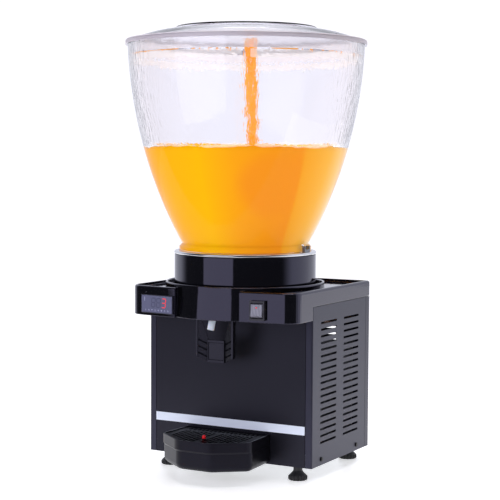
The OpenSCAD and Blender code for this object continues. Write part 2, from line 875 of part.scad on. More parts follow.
// Stainless deck with a rolled ring that shows between the collar and the bowl
module evaporator_deck() {
    half = ring_h / 2;
    color("#c9ccd2")
    difference() {
        rotate_extrude() {
            translate([ring_in, collar_top]) square([ring_w - half, ring_h]);
            translate([ring_r - half, collar_top + half]) circle(r = half);
            translate([drum_bore_r - 1, seat_z - deck_plate_t])
                square([ring_in + 1 - drum_bore_r + 1, deck_plate_t]);
        }
        translate([0, -drain_y, collar_top - past]) cylinder(r = drain_r + run_fit, h = 2 * ring_h);
    }
}

// Stainless drum with a pin on top for the impeller
module evaporator_drum() {
    color("#d2d5da")
    rotate_extrude()
        polygon([
            [drum_bore_r, seat_z], [drum_r, seat_z], [drum_r, drum_top - 4],
            [drum_r - 4, drum_top], [shaft_r, drum_top],
            [shaft_r, drum_top + pin_h], [0, drum_top + pin_h],
            [0, drum_top - drum_wall], [drum_bore_r - 4, drum_top - drum_wall],
            [drum_bore_r, drum_top - drum_wall - 4]
        ]);
}

// Copper coil wound against the inside of the drum, with both tails led down
coil_steps = 24;
coil_points = concat(
    [
        for (z = [cab_top - 24, cab_top, coil_low - 12])
        [pipe_hole[0], pipe_hole[1], z]
    ],
    [
        for (i = [0 : coil_turns * coil_steps])
        let (a = coil_tail_turn + 360 * i / coil_steps)
        [coil_r * cos(a), coil_r * sin(a), coil_low + coil_pitch * i / coil_steps]
    ],
    [
        for (q = [[tail_in + 4, 6], [tail_in, 0]])
        let (top = coil_low + coil_pitch * coil_turns)
        [q[0] * cos(coil_tail_turn + 14), q[0] * sin(coil_tail_turn + 14), top + q[1]]
    ],
    [
        for (z = [coil_low + coil_pitch * (coil_turns - 1), coil_low, cab_top + 12])
        [tail_in * cos(coil_tail_turn + 10), tail_in * sin(coil_tail_turn + 10), z]
    ],
    [for (z = [cab_top, cab_top - 24]) [tail_hole[0], tail_hole[1], z]]
);
module evaporator_coil() {
    color("#b8713f") swept_tube(coil_points, tube_r, [1, 0, 0]);
}

module bowl_gasket() {
    color("#e9e9ea")
    translate([0, 0, seat_z])
    difference() {
        cylinder(r = bowl_foot_r, h = ring_top - seat_z);
        translate([0, 0, -past]) cylinder(r = bowl_foot_r - gasket_w, h = ring_top);
    }
}

// Two stainless saddles on the ring that the bowl's lugs drop into
module bowl_clips() {
    color("#a9acb3")
    both_sides()
        translate([ring_in + nest, 0, ring_top])
        difference() {
            translate([0, -clip_len / 2, 0]) cube([clip_t, clip_len, clip_h]);
            translate([-past, -lug_w / 2 - slide_fit, lug_low - slide_fit])
                cube([clip_t + 2 * past, lug_w + 2 * slide_fit, clip_h]);
        }
}

// Clear bowl: a wall of one arc on a plain foot, open at both ends, with two lugs; kept as two nodes
bowl_mid = neck_z + bowl_h / 2.2;
function bowl_side(low, top, n) = [
    for (i = [0 : n]) let (z = low + (top - low) * i / n) [bowl_r(z), z]
];
module bowl_ring(foot, outer) {
    inner = [for (i = [len(outer) - 1 : -1 : 0]) outer[i] - [bowl_wall, 0]];
    color("#f2b04a", 0.5) rotate_extrude() polygon(concat(foot, outer, inner));
}
module bowl() {
    bowl_ring(
        [
            [bowl_neck_r - bowl_wall, bowl_low], [bowl_foot_r, bowl_low],
            [bowl_foot_r, bowl_low + bowl_foot_h]
        ],
        bowl_side(neck_z, bowl_mid, 12)
    );
    color("#f2b04a", 0.5)
    both_sides()
        translate([bowl_neck_r - bowl_wall / 2, -lug_w / 2, bowl_low + lug_low])
        cube([lug_reach - bowl_neck_r + bowl_wall / 2, lug_w, lug_h]);
}
module bowl_wall_top() {
    bowl_ring([], bowl_side(bowl_mid, bowl_top, 12));
}

// Clear lid: a rim on the bowl's edge, a skirt inside it, a shallow dome and a raised plateau
dome_steps = 8;
nub_turn = -61.4;
module lid() {
    function dome_r(t) = lid_skirt_r - (lid_skirt_r - lid_top_r - 2) * t;
    function dome_z(t) = lid_rim_top + lid_dome_h * sin(90 * t);
    outer = [for (i = [0 : dome_steps]) let (t = i / dome_steps) [dome_r(t), dome_z(t)]];
    inner = [
        for (i = [dome_steps : -1 : 0]) let (t = i / dome_steps)
        [dome_r(t) - lid_wall * t, dome_z(t) - lid_wall]
    ];
    color("#dfe3ea", 0.5) {
        rotate_extrude()
            polygon(concat(
                [
                    [lid_skirt_r - lid_wall, lid_low - lid_skirt], [lid_skirt_r, lid_low - lid_skirt],
                    [lid_skirt_r, lid_low], [lid_r, lid_low], [lid_r, lid_rim_top - 1.5],
                    [lid_r - 1.5, lid_rim_top]
                ],
                outer,
                [
                    [lid_top_r, lid_top - 1], [lid_top_r - 1, lid_top], [0, lid_top],
                    [0, lid_top - lid_wall], [lid_top_r - lid_wall, lid_top - lid_wall]
                ],
                inner,
                [[lid_skirt_r - lid_wall, lid_low]]
            ));
        for (i = [0 : lid_nubs - 1])
            rotate([0, 0, nub_turn + 360 * i / lid_nubs])
            translate([lid_r - 5, -2, lid_rim_top - 1])
            cube([3, 4, 2.5]);
    }
}

// Impeller with the driven magnet moulded in, running on the drum's pin
module impeller() {
    hub_in = 8;
    color("#f0f0f0")
    translate([0, 0, impeller_low])
    difference() {
        union() {
            cylinder(r = magnet_r, h = impeller_h / 2);
            cylinder(r = hub_in, h = impeller_h);
            for (i = [0 : impeller_vanes - 1])
                rotate([0, 0, 360 * i / impeller_vanes])
                translate([hub_in - 1, -1, 0])
                cube([magnet_r - hub_in, 2, impeller_h]);
        }
        translate([0, 0, -past]) cylinder(r = shaft_r + run_fit, h = impeller_h + 2 * past);
    }
}

// Pump cover with intakes round its foot and the fountain nozzle on top
module pump_cover() {
    color("#e8e8ea")
    difference() {
        rotate_extrude()
            polygon([
                [cover_r - cover_wall, drum_top], [cover_r, drum_top], [cover_r, cover_top - 3],
                [cover_r - 3, cover_top], [nozzle_r + 4, cover_top], [nozzle_r, cover_top + 4],
                [nozzle_r, cover_top + nozzle_h], [nozzle_r - cover_wall, cover_top + nozzle_h],
                [nozzle_r - cover_wall, cover_in_top], [cover_r - cover_wall, cover_in_top]
            ]);
        for (i = [0 : 3])
            rotate([0, 0, 45 * i])
            translate([-2 * cover_r, -4, drum_top - past])
            cube([4 * cover_r, 8, 4 + past]);
    }
}

module drive_magnet() {
    color("#4a4a50")
    translate([0, 0, magnet_top - magnet_t])
    difference() {
        cylinder(r = magnet_r, h = magnet_t);
        translate([0, 0, -past]) cylinder(r = shaft_r + run_fit, h = magnet_t + 2 * past);
    }
}
module drive_shaft() {
    low = motor_top - motor_h / 2;
    color("#b9bcc2") translate([0, 0, low]) cylinder(r = shaft_r, h = magnet_top - low);
}
module pump_motor() {
    color("#55565c")
    difference() {
        union() {
            translate([0, 0, motor_top - motor_flange_t]) cylinder(r = motor_r + 5, h = motor_flange_t);
            translate([0, 0, motor_top - motor_h]) cylinder(r = motor_r, h = motor_h);
        }
        translate([0, 0, motor_top - motor_h / 2 - 1])
            cylinder(r = shaft_r + run_fit, h = motor_h);
    }
}

// Hermetic compressor on four rubber mounts
mount_h = 10;
mount_r = 9;
mount_out = comp_r * 0.78;
comp_low = pan_floor + mount_h + 3;
module comp_place() {
    translate([-comp_x, comp_y, 0]) children();
}
module mount_places() {
    comp_place() for (x = [-1, 1], y = [-1, 1]) translate([x * mount_out, y * mount_out, 0]) children();
}
module compressor() {
    // Egg-shaped can: a quarter ellipse over and under a short straight wall
    dome = comp_h * 0.36;
    top = comp_low + comp_h;
    steps = 8;
    color("#2c2c30")
    difference() {
        union() {
            comp_place() {
                rotate_extrude()
                    polygon(concat(
                        [[0, comp_low]],
                        [
                            for (i = [1 : steps]) let (a = 90 * i / steps)
                            [comp_r * sin(a), comp_low + dome - dome * cos(a)]
                        ],
                        [
                            for (i = [0 : steps]) let (a = 90 * i / steps)
                            [comp_r * cos(a), top - dome + dome * sin(a)]
                        ]
                    ));
                translate([0, 0, comp_low + comp_h / 2 - 2]) cylinder(r = comp_r + 3, h = 4);
                // Foot plate with ears over the mounts, and three tube stubs
                translate([0, 0, pan_floor + mount_h + 1.5])
                    cube([2 * mount_out + 18, 2 * mount_out + 18, 3], center = true);
                translate([0, 0, pan_floor + mount_h]) cylinder(r = comp_r * 0.5, h = dome / 2);
            }
            for (p = comp_stubs)
                translate(p) translate([-8, 0, 0]) rotate([0, 90, 0]) cylinder(r = tube_r + 1, h = 8);
        }
        mount_places() cylinder(r = 3 + run_fit, h = comp_low + 10);
    }
}
stub_z = comp_low + comp_h * 0.36 + 8;
stub_x = -comp_x + sqrt(pow(comp_r, 2) - pow(20, 2)) + 4;
comp_stubs = [for (y = [-20, 20]) [stub_x, comp_y + y, stub_z]];
module compressor_mounts() {
    color("#1b1b1d")
    mount_places() {
        translate([0, 0, pan_floor]) cylinder(r = mount_r, h = mount_h);
        translate([0, 0, pan_floor]) cylinder(r = 3, h = mount_h + 5);
    }
}
module terminal_box() {
    box_w = 40;
    box_h = 46;
    box_d = 22;
    color("#202024")
    difference() {
        translate([-comp_x - box_w / 2, comp_y - comp_r - box_d + 14, comp_low + comp_h * 0.36])
            cube([box_w, box_d, box_h]);
        comp_place() cylinder(r = comp_r + nest, h = cab_h);
        comp_place() translate([0, 0, comp_low + comp_h / 2 - 3]) cylinder(r = comp_r + 3 + nest, h = 6);
    }
}

// Finned condenser: plates threaded on a serpentine of tube, between two end plates
cond_cols = [cond_t * 0.25, cond_t * 0.75];
module tube_pattern(r) {
    for (x = cond_cols, i = [0 : cond_rows - 1])
        translate([x, cond_pitch_z * (i + 0.5)]) circle(r = r);
}
module cond_plate(low) {
    difference() {
        translate([0, low]) square([cond_t, cond_h - low]);
        tube_pattern(tube_r + run_fit);
    }
}
module condenser_fins() {
    span = cond_len - 2 * 12;
    color("#c7c9cd")
    translate([cond_x, cond_y, cond_z]) {
        for (i = [0 : cond_fins - 1])
            translate([0, 12 + span * (i + 0.5) / cond_fins, 0])
            rotate([90, 0, 0]) linear_extrude(0.5) cond_plate(0);
        // End plates reach down to the pan
        for (y = [8 + cond_end_t, cond_len - 8])
            translate([0, y, 0])
            rotate([90, 0, 0]) linear_extrude(cond_end_t) cond_plate(pan_floor - cond_z);
    }
}
// Serpentine: straight tubes with brazed return bends, both ends at the front of the top row
tube_start = 4;
tube_reach = cond_len - 10;
bend_tube_r = tube_r + 0.5;
module return_bend(r) {
    rotate_extrude(angle = 180) translate([r, 0]) circle(r = bend_tube_r);
}
module condenser_tube() {
    color("#b8713f")
    translate([cond_x, cond_y + tube_start + 1, cond_z]) {
        for (x = cond_cols, i = [0 : cond_rows - 1])
            translate([x, -1, cond_pitch_z * (i + 0.5)])
            rotate([-90, 0, 0]) cylinder(r = tube_r, h = tube_reach + 2);
        for (x = cond_cols, i = [0 : cond_rows - 2])
            translate([x, i % 2 == 0 ? tube_reach : 0, cond_pitch_z * (i + 1)])
            mirror([0, i % 2, 0])
            rotate([0, 90, 0]) return_bend(cond_pitch_z / 2);
        translate([(cond_cols[0] + cond_cols[1]) / 2, 0, cond_pitch_z / 2])
            mirror([0, 1, 0]) return_bend((cond_cols[1] - cond_cols[0]) / 2);
    }
}

// Fan: a shroud plate on the condenser, a motor on a bent bracket and a pressed blade
module fan_shroud() {
    plate_h = cond_z + cond_h - pan_floor;
    color("#8d9096")
    difference() {
        translate([shroud_x, cond_y, pan_floor]) cube([sheet, cond_len, plate_h]);
        translate([shroud_x - past, fan_y, fan_z])
            rotate([0, 90, 0]) cylinder(r = fan_r + 4, h = sheet + 2 * past);
    }
    // Two folded edges meet the condenser's end plates
    color("#8d9096")
    for (y = [cond_y + 8, cond_y + cond_len - 8 - cond_end_t])
        translate([shroud_x, y, pan_floor])
        cube([cond_x - shroud_x - nest, cond_end_t, plate_h]);
}
module fan_motor() {
    color("#55565c")
    translate([fan_motor_x, fan_y, fan_z]) rotate([0, 90, 0])
    difference() {
        cylinder(r = fan_motor_r, h = fan_motor_len);
        translate([0, 0, fan_motor_len / 2]) cylinder(r = shaft_r + run_fit, h = fan_motor_len);
    }
}
module fan_bracket() {
    leg = 2 * fan_motor_r + 16;
    color("#8d9096")
    difference() {
        union() {
            translate([fan_motor_x + 6, fan_y - leg / 2, pan_floor])
                cube([sheet, leg, fan_z + fan_motor_r + 8 - pan_floor]);
            translate([fan_motor_x - 14, fan_y - leg / 2, pan_floor]) cube([20 + sheet, leg, sheet]);
        }
        translate([fan_motor_x, fan_y, fan_z])
            rotate([0, 90, 0]) cylinder(r = fan_motor_r + run_fit, h = fan_motor_len);
    }
}
fan_hub_len = 14;
module fan_shaft() {
    start = fan_motor_x + fan_motor_len / 2 + 1;
    color("#b9bcc2")
    translate([start, fan_y, fan_z])
        rotate([0, 90, 0]) cylinder(r = shaft_r, h = fan_x + fan_hub_len - start);
}
module fan_blade() {
    hub = 14;
    chord_w = 26;
    color("#9fa3aa")
    translate([fan_x, fan_y, fan_z]) rotate([0, 90, 0])
    difference() {
        union() {
            cylinder(r = hub, h = fan_hub_len);
            intersection() {
                for (i = [0 : fan_blades - 1])
                    rotate([0, 0, 360 * i / fan_blades])
                    translate([hub - 2, 0, fan_hub_len / 2])
                    rotate([fan_pitch, 0, 0])
                    translate([0, -chord_w / 2, -sheet / 2])
                    cube([fan_r, chord_w, sheet]);
                cylinder(r = fan_r, h = 3 * fan_hub_len, center = true);
            }
        }
        translate([0, 0, -past]) cylinder(r = shaft_r + run_fit, h = fan_hub_len + 2 * past);
    }
}

// Refrigerant lines: hot gas to the condenser, liquid through the drier, suction from the coil
cond_in = [cond_x + cond_cols[0], cond_y + tube_start, cond_z + cond_pitch_z * (cond_rows - 0.5)];
cond_out = [cond_x + cond_cols[1], cond_in[1], cond_in[2]];
module discharge_line() {
    over = cond_z + cond_h + 8;
    color("#b8713f")
    pipe_run([
        comp_stubs[0], comp_stubs[0] + [10, 0, 0],
        [comp_stubs[0][0] + 10, comp_stubs[0][1], over],
        [cond_in[0], comp_stubs[0][1], over],
        [cond_in[0], cond_in[1] - 8, over],
        [cond_in[0], cond_in[1] - 8, cond_in[2]],
        cond_in
    ], tube_r);
}
drier_len = 60;
drier_r = 9;
drier_z = cab_top - 34;
drier_y = rear_y - 28;
module filter_drier() {
    color("#a8693c")
    translate([cond_out[0] - 20, drier_y, drier_z]) rotate([0, -90, 0])
    rotate_extrude()
        polygon([
            [0, 0], [tube_r + 1, 0], [drier_r, 8], [drier_r, drier_len - 8],
            [tube_r + 1, drier_len], [0, drier_len]
        ]);
}
module liquid_line() {
    entry = [cond_out[0] - 20, drier_y, drier_z];
    leave = entry - [drier_len, 0, 0];
    color("#b8713f") {
        pipe_run([
            cond_out, cond_out + [0, -12, 0], [cond_out[0], cond_out[1] - 12, drier_z],
            [cond_out[0], drier_y, drier_z], entry
        ], tube_r);
        pipe_run([
            leave, [tail_hole[0], drier_y, drier_z],
            [tail_hole[0], tail_hole[1], drier_z],
            [tail_hole[0], tail_hole[1], cab_top - 24]
        ], tube_r);
    }
}
module suction_line() {
    color("#b8713f")
    pipe_run([
        comp_stubs[1], comp_stubs[1] + [18, 0, 0],
        [comp_stubs[1][0] + 18, comp_stubs[1][1], cab_top - 48],
        [pipe_hole[0], comp_stubs[1][1], cab_top - 48],
        [pipe_hole[0], pipe_hole[1], cab_top - 48],
        [pipe_hole[0], pipe_hole[1], cab_top - 24]
    ], tube_r);
}

// Drain: a flanged stainless pipe from the deck, bent to the lean of the outlet tube
module lean_from_bend() {
    translate(drain_bend) rotate([180 - spout_lean, 0, 0]) children();
}
module drain_pipe() {
    bore = drain_r - 1;
    sleeve = 9;
    color("#c9ccd2")
    difference() {
        union() {
            translate([0, -drain_y, drain_bend[2]]) cylinder(r = drain_r, h = seat_z - drain_bend[2]);
            translate([0, -drain_y, seat_z]) cylinder(r = drain_r + 4, h = 1);
            translate(drain_bend) rotate([180 - spout_lean / 2, 0, 0])
                cylinder(r = drain_r + 1.2, h = sleeve, center = true);
            lean_from_bend() cylinder(r = drain_r, h = spout_start + 18);
        }
        translate([0, -drain_y, drain_bend[2] - bore / 2]) cylinder(r = bore, h = cab_h);
        lean_from_bend() cylinder(r = bore - 0.3, h = cab_h);
    }
}
module outlet_tube() {
    color("#ececf0")
    lean_from_bend()
    translate([0, 0, spout_start])
    difference() {
        cylinder(r = spout_r, h = spout_len - spout_start);
        translate([0, 0, -past]) cylinder(r = drain_r + run_fit, h = spout_len);
    }
}

// Bracket on the front panel: two cheeks for the lever's pin and an anvil in front of the tube
module tap_bracket() {
    cheek_low = pod_low + 5;
    cheek_top = pivot_z + hub_r + 1;
    anvil_y = spout_y_pinch - spout_reach - slide_fit - anvil_t;
    color("#1c1b20")
    difference() {
        union() {
            translate([-cheek_out, front_y - bracket_t, cheek_low])
                cube([2 * cheek_out, bracket_t, cheek_top - cheek_low]);
            both_sides()
                translate([cheek_in, anvil_y, cheek_low])
                cube([bracket_t, front_y - anvil_y, cheek_top - cheek_low]);
            translate([-cheek_out, anvil_y, pinch_z - pinch_h / 2])
                cube([2 * cheek_out, anvil_t, pinch_h]);
        }
        translate([-2 * cheek_out, -pivot_y, pivot_z])
            rotate([0, 90, 0]) cylinder(r = shaft_r + run_fit, h = 4 * cheek_out);
    }
}

// Push lever: a pad between two wings swept forward, on side walls with hubs
module on_wing() {
    both_sides() translate([pad_half, -lever_y, 0]) rotate([0, 0, -wing_sweep]) children();
}
module tap_lever() {
    bar_y = spout_y_pinch + spout_reach + slide_fit;
    wing_w = (lever_half - pad_half - lever_t * sin(wing_sweep) - skin) / cos(wing_sweep);
    front = -lever_y - (lever_half - pad_half) * tan(wing_sweep);
    back = front + lever_depth;
    low = pad_low + wing_rise;
    top = pod_low + 4;
    groove = 1.6;
    lip = 3.5;
    color("#201f25")
    difference() {
        union() {
            on_wing()
                translate([0, lever_t, 0]) rotate([90, 0, 0]) linear_extrude(lever_t)
                polygon([
                    [-1, pad_low + 0.5], [wing_w, low], [wing_w, top],
                    [(notch_half - pad_half) / cos(wing_sweep), top], [-1, pad_top - 0.5]
                ]);
            translate([-pad_half, -lever_y - pad_proud, pad_low])
                cube([2 * pad_half, pad_proud + lever_t + 1, pad_h]);
            // Side walls that run up to the hubs
            both_sides()
                translate([lever_half - lever_t, 0, 0])
                rotate([90, 0, 90]) linear_extrude(lever_t) {
                    polygon([
                        [front, low], [back, low], [back, pod_low - 10], [-pivot_y + hub_r, pivot_z],
                        [-pivot_y - hub_r, pivot_z], [front, top]
                    ]);
                    translate([-pivot_y, pivot_z]) circle(r = hub_r);
                }
            // Pinch bar behind the tube
            translate([-lever_half + 1, bar_y, pinch_z - pinch_h / 2])
                cube([2 * lever_half - 2, 5, pinch_h]);
        }
        translate([-2 * lever_half, -pivot_y, pivot_z])
            rotate([0, 90, 0]) cylinder(r = shaft_r + run_fit, h = 4 * lever_half);
        // Pad's face, set in between two lips
        translate([1 - pad_half, -2 * lever_y - pad_proud + 1, pad_low + lip])
            cube([2 * pad_half - 2, lever_y, pad_h - 2 * lip]);
        // Chevron grooves on both wings
        on_wing()
            for (i = [0 : 2])
                translate([2, groove, pad_low + 7 + i * 10])
                rotate([0, -groove_slope, 0])
                translate([0, -2 * groove, 0])
                cube([wing_w - 3, 2 * groove, 2.6]);
    }
}
module lever_pin() {
    color("#b9bcc2")
    translate([-cheek_out - 2, -pivot_y, pivot_z])
        rotate([0, 90, 0]) cylinder(r = shaft_r, h = 2 * cheek_out + 4);
}

// Torsion spring on the pin, its legs on the bracket and the pinch bar
spring_wire = 0.8;
spring_turns = 5;
spring_steps = 12;
spring_r = shaft_r + spring_wire + 0.5;
spring_x = 10;
spring_pitch = 2.4;
spring_points = concat(
    [[spring_x, front_y - bracket_t - spring_wire - nest, pivot_z - spring_r]],
    [
        for (i = [0 : spring_turns * spring_steps])
        let (a = -90 - 360 * i / spring_steps)
        [
            spring_x + spring_pitch * i / spring_steps,
            -pivot_y + spring_r * cos(a),
            pivot_z + spring_r * sin(a)
        ]
    ],
    [[
        spring_x + spring_pitch * spring_turns,
        spout_y_pinch + spout_reach + 5 + slide_fit + spring_wire + nest,
        pinch_z
    ]]
);
module lever_spring() {
    color("#c4c7cc") swept_tube(spring_points, spring_wire, [0, 0, 1]);
}

// Hanging strip on the front panel for the tray's hook
rest_low = tray_low + 12;
rest_lip_y = front_y - tray_notch + 1;
module tray_bracket() {
    color("#8d9096")
    translate([-hook_half, 0, rest_low]) {
        translate([0, front_y - rest_lip, 0]) cube([2 * hook_half, rest_lip, 14]);
        translate([0, rest_lip_y, 0]) cube([2 * hook_half, front_y - rest_lip_y, rest_lip]);
        translate([0, rest_lip_y, 0]) cube([2 * hook_half, rest_lip, 10]);
    }
}

// Plan of the tray, drawn in by t, its sides by side_t
function inset(a, b, c, t_a, t_c) =
    let (u = unit(a - b), v = unit(c - b))
    b + (u * t_c + v * t_a) / abs(u[0] * v[1] - u[1] * v[0]);
module tray_plan(t, back, side_t) {
    a = [tray_rear, front_y];
    b = [tray_half, tray_y + tray_chamfer];
    c = [tray_front, tray_y];
    side = inset(a, b, c, side_t, t);
    nose = inset(b, c, [-c[0], c[1]], t, t);
    rear = side + (a - b) * (back - side[1]) / (a[1] - b[1]);
    half = concat([rear], corner(rear, side, nose, max(tray_corner - t, 1)),
        corner(side, nose, [-nose[0], nose[1]], tray_nose - t));
    polygon(concat(half, [for (i = [len(half) - 1 : -1 : 0]) [-half[i][0], half[i][1]]]));
}
module tray_slice(t, back, z, h, side_t = -1) {
    translate([0, 0, z]) linear_extrude(h) tray_plan(t, back, side_t < 0 ? t : side_t);
}
module drip_tray() {
    notch_top = rest_low + 18;
    band_z = tray_top - tray_band;
    inner = tray_set_in + tray_wall;
    back_in = front_y - tray_notch - tray_wall;
    web_z = rest_low + 10 + slide_fit;
    lip_y = rest_lip_y + rest_lip + slide_fit;
    color("#1d1c22") {
        difference() {
            union() {
                tray_slice(0, tray_back, band_z, tray_band);
                hull() {
                    tray_slice(0.1, tray_back - 1, band_z, 0.5, 0.3);
                    tray_slice(tray_set_in - 0.2, tray_back - 1, band_z - 3, skin, 0.3);
                }
                // Tub set in at its front and round at its foot
                hull() {
                    tray_slice(tray_set_in, tray_back, tray_low + tray_round,
                        band_z - tray_low - tray_round - 2.7, 0);
                    for (a = [30, 60, 90]) {
                        t = tray_round * (1 - cos(a));
                        tray_slice(tray_set_in + t, tray_back, tray_low + tray_round * (1 - sin(a)), skin, t);
                    }
                }
            }
            tray_slice(inner + tray_round * 0.6, back_in, tray_low + tray_wall, tray_top);
            tray_slice(inner, back_in, tray_low + tray_round, tray_top);
            tray_slice(tray_wall, tray_back - tray_wall, ledge_z, tray_top);
            // Room for the hanging strip
            translate([-hook_half - 3, front_y - tray_notch, tray_low - past])
                cube([2 * hook_half + 6, tray_notch, notch_top - tray_low + past]);
        }
        // Hook over the strip
        translate([-hook_half + 2, front_y - tray_notch - 1, web_z])
            cube([2 * hook_half - 4, lip_y + hook_t - front_y + tray_notch + 1, 2]);
        translate([-hook_half + 2, lip_y, rest_low + rest_lip + slide_fit])
            cube([2 * hook_half - 4, hook_t, web_z + 2 - rest_low - rest_lip - slide_fit]);
    }
}

// Lift-out grille: a rear row of slots, a plain band and long slots
module drip_grille() {
    edge = tray_wall + slide_fit;
    back = tray_back - tray_wall - slide_fit;
    count = floor((tray_rear - edge - 5) / grille_pitch);
    band = 8;
    color("#17161a")
    difference() {
        tray_slice(edge, back, ledge_z, grille_t);
        for (i = [-count : count]) {
            x = i * grille_pitch;
            // The chamfered corner cuts the long slots short
            nose = max(
                tray_y,
                tray_y + tray_chamfer * (abs(x) + 3 - tray_front) / (tray_half - tray_front)
            ) + edge + 6;
            far = back - 6 - grille_row - band;
            translate([x - grille_slot / 2, back - 6 - grille_row, ledge_z - past])
                cube([grille_slot, grille_row, grille_t + 2 * past]);
            if (abs(x) > grille_pitch * 0.9)
                translate([x - grille_slot / 2, nose, ledge_z - past])
                    cube([grille_slot, far - nose, grille_t + 2 * past]);
        }
        translate([0, float_y, ledge_z - past])
            cylinder(r = float_r + slide_fit, h = grille_t + 2 * past);
    }
}

// Full-tray float with a red button through the grille
module float_indicator() {
    floor_z = tray_low + tray_wall + seat_gap;
    button_top = ledge_z + grille_t + 6;
    color("#d21f26")
    translate([0, float_y, 0]) {
        translate([0, 0, floor_z]) cylinder(r = float_disc_r, h = 10);
        translate([0, 0, floor_z]) cylinder(r = float_r, h = button_top - float_r - floor_z);
        translate([0, 0, button_top - float_r]) sphere(r = float_r);
    }
}

// Rocker switch in the right-hand pod
rocker_axis_y = -switch_proud + rocker_pivot;
module switch_body() {
    depth = 26;
    color("#3b3a44")
    on_front(switch_x) translate([0, 0, control_z])
    difference() {
        union() {
            translate([-switch_w / 2, -switch_proud, -switch_h / 2])
                cube([switch_w, switch_proud - nest, switch_h]);
            translate([-rocker_w / 2 - 1.5, -switch_proud, -rocker_h / 2 - 1.5])
                cube([rocker_w + 3, depth, rocker_h + 3]);
        }
        translate([-rocker_w / 2 - slide_fit, -switch_proud - past, -rocker_h / 2 - slide_fit])
            cube([rocker_w + 2 * slide_fit, 14 + past, rocker_h + 2 * slide_fit]);
        translate([-switch_w, rocker_axis_y, 0])
            rotate([0, 90, 0]) cylinder(r = 1.5 + run_fit, h = 2 * switch_w);
    }
}
rocker_tilt = 8;
module switch_rocker() {
    color("#55545f")
    on_front(switch_x) translate([0, rocker_axis_y, control_z]) {
        rotate([-rocker_tilt, 0, 0])
        intersection() {
            translate([-rocker_w / 2, -rocker_pivot - 3, -rocker_h / 2 + 0.8])
                cube([rocker_w, rocker_pivot + 8, rocker_h - 1.6]);
            // Saddle-shaped face and a round back that turns in the case
            difference() {
                rotate([0, 90, 0]) cylinder(r = rocker_h / 2 - 0.8, h = 2 * rocker_w, center = true);
                translate([0, -rocker_pivot - 3 - rocker_h * 1.6 + 1.4, 0])
                    rotate([0, 90, 0]) cylinder(r = rocker_h * 1.6, h = 2 * rocker_w, center = true);
            }
        }
        rotate([0, 90, 0])
            cylinder(r = 1.5, h = rocker_w + 2 * slide_fit + 2, center = true);
    }
}

// Temperature controller in the left-hand pod
face_t = 1.2;
module controller_case() {
    depth = 22;
    color("#2a2a33")
    on_front(-ctrl_x) translate([0, 0, control_z])
    difference() {
        union() {
            translate([-ctrl_w / 2, -ctrl_proud, -ctrl_h / 2]) cube([ctrl_w, ctrl_proud - nest, ctrl_h]);
            translate([ctrl_step[0] - ctrl_w / 2, -ctrl_proud, ctrl_step[1] - ctrl_h / 2])
                cube([ctrl_w - 2 * ctrl_step[0], ctrl_proud + depth, ctrl_h - 2 * ctrl_step[1]]);
        }
        translate([-ctrl_w / 2 + 1, -ctrl_proud - past, -ctrl_h / 2 + 1])
            cube([ctrl_w - 2, face_t + past, ctrl_h - 2]);
    }
}
module controller_face() {
    color("#50526f")
    on_front(-ctrl_x)
        translate([-ctrl_w / 2 + 1 + nest / 2, -ctrl_proud, control_z - ctrl_h / 2 + 1 + nest / 2])
        cube([ctrl_w - 2 - nest, face_t, ctrl_h - 2 - nest]);
}

// Levelling foot: a scalloped pad, a waisted stem and a moulded stud
module foot(x, y) {
    neck = foot_h - 7;
    scallop_r = 2.8;
    color("#141317")
    translate([x, y, 0])
    difference() {
        rotate_extrude()
            polygon([
                [0, 0], [foot_r - 1.5, 0], [foot_r, 1.5], [foot_r, foot_pad_h - 1.5],
                [foot_r - 1.5, foot_pad_h], [foot_stem_r + 1, neck - 2], [foot_stem_r, neck],
                [foot_stem_r, foot_h - seat_gap], [stud_r, foot_h - seat_gap],
                [stud_r, foot_h + stud_len], [0, foot_h + stud_len]
            ]);
        for (i = [0 : foot_scallops - 1])
            rotate([0, 0, 360 * i / foot_scallops])
            translate([foot_r + 0.6, 0, -past])
            cylinder(r = scallop_r, h = foot_pad_h + 2 * past);
    }
}
foot_x = cab_w / 2 - foot_side;
foot_front_y = front_y + foot_front;
foot_rear_y = rear_y - foot_rear;
module foot_front_left() { foot(-foot_x, foot_front_y); }
module foot_front_right() { foot(foot_x, foot_front_y); }
module foot_rear_left() { foot(-foot_x, foot_rear_y); }
module foot_rear_right() { foot(foot_x, foot_rear_y); }
module foot_nuts() {
    color("#b9bcc2")
    foot_places()
        translate([0, 0, pan_floor])
        difference() {
            cylinder(r = stud_r + 3.5, h = 6.5, $fn = 6);
            translate([0, 0, -past]) cylinder(r = stud_r + run_fit, h = 6.5 + 2 * past);
        }
}

// Dark pan-head screws in the side and rear panels
module panel_screws() {
    head_h = 1.8;
    color("#141317")
    screw_places() {
        translate([0, 0, -8]) cylinder(r = screw_r, h = 8);
        cylinder(r = screw_head_r, h = head_h / 2);
        cylinder(r = screw_head_r - 0.8, h = head_h);
    }
}

base_pan();
front_panel();
accent_stripe();
left_side_panel();
right_side_panel();
rear_panel();
top_plate();
top_housing();
collar();
insulation();
evaporator_deck();
evaporator_drum();
evaporator_coil();
bowl_gasket();
bowl_clips();
bowl();
bowl_wall_top();
lid();
impeller();
pump_cover();
drive_magnet();
drive_shaft();
pump_motor();
compressor();
compressor_mounts();
terminal_box();
condenser_fins();
condenser_tube();
fan_shroud();
fan_motor();
fan_bracket();
fan_shaft();
fan_blade();
discharge_line();
suction_line();
liquid_line();
filter_drier();
drain_pipe();
outlet_tube();
tap_bracket();
tap_lever();
lever_pin();
lever_spring();
tray_bracket();
drip_tray();
drip_grille();
float_indicator();
switch_body();
switch_rocker();
controller_case();
controller_face();
cord_gland();
foot_front_left();
foot_front_right();
foot_rear_left();
foot_rear_right();
foot_nuts();
panel_screws();
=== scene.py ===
# Cold drink dispenser: a clear bowl of juice with a fountain jet, on a black refrigerated cabinet.
# The CAD pieces are the frame. This script gives them their finish and adds what is thin, wet or printed.
import math
import random

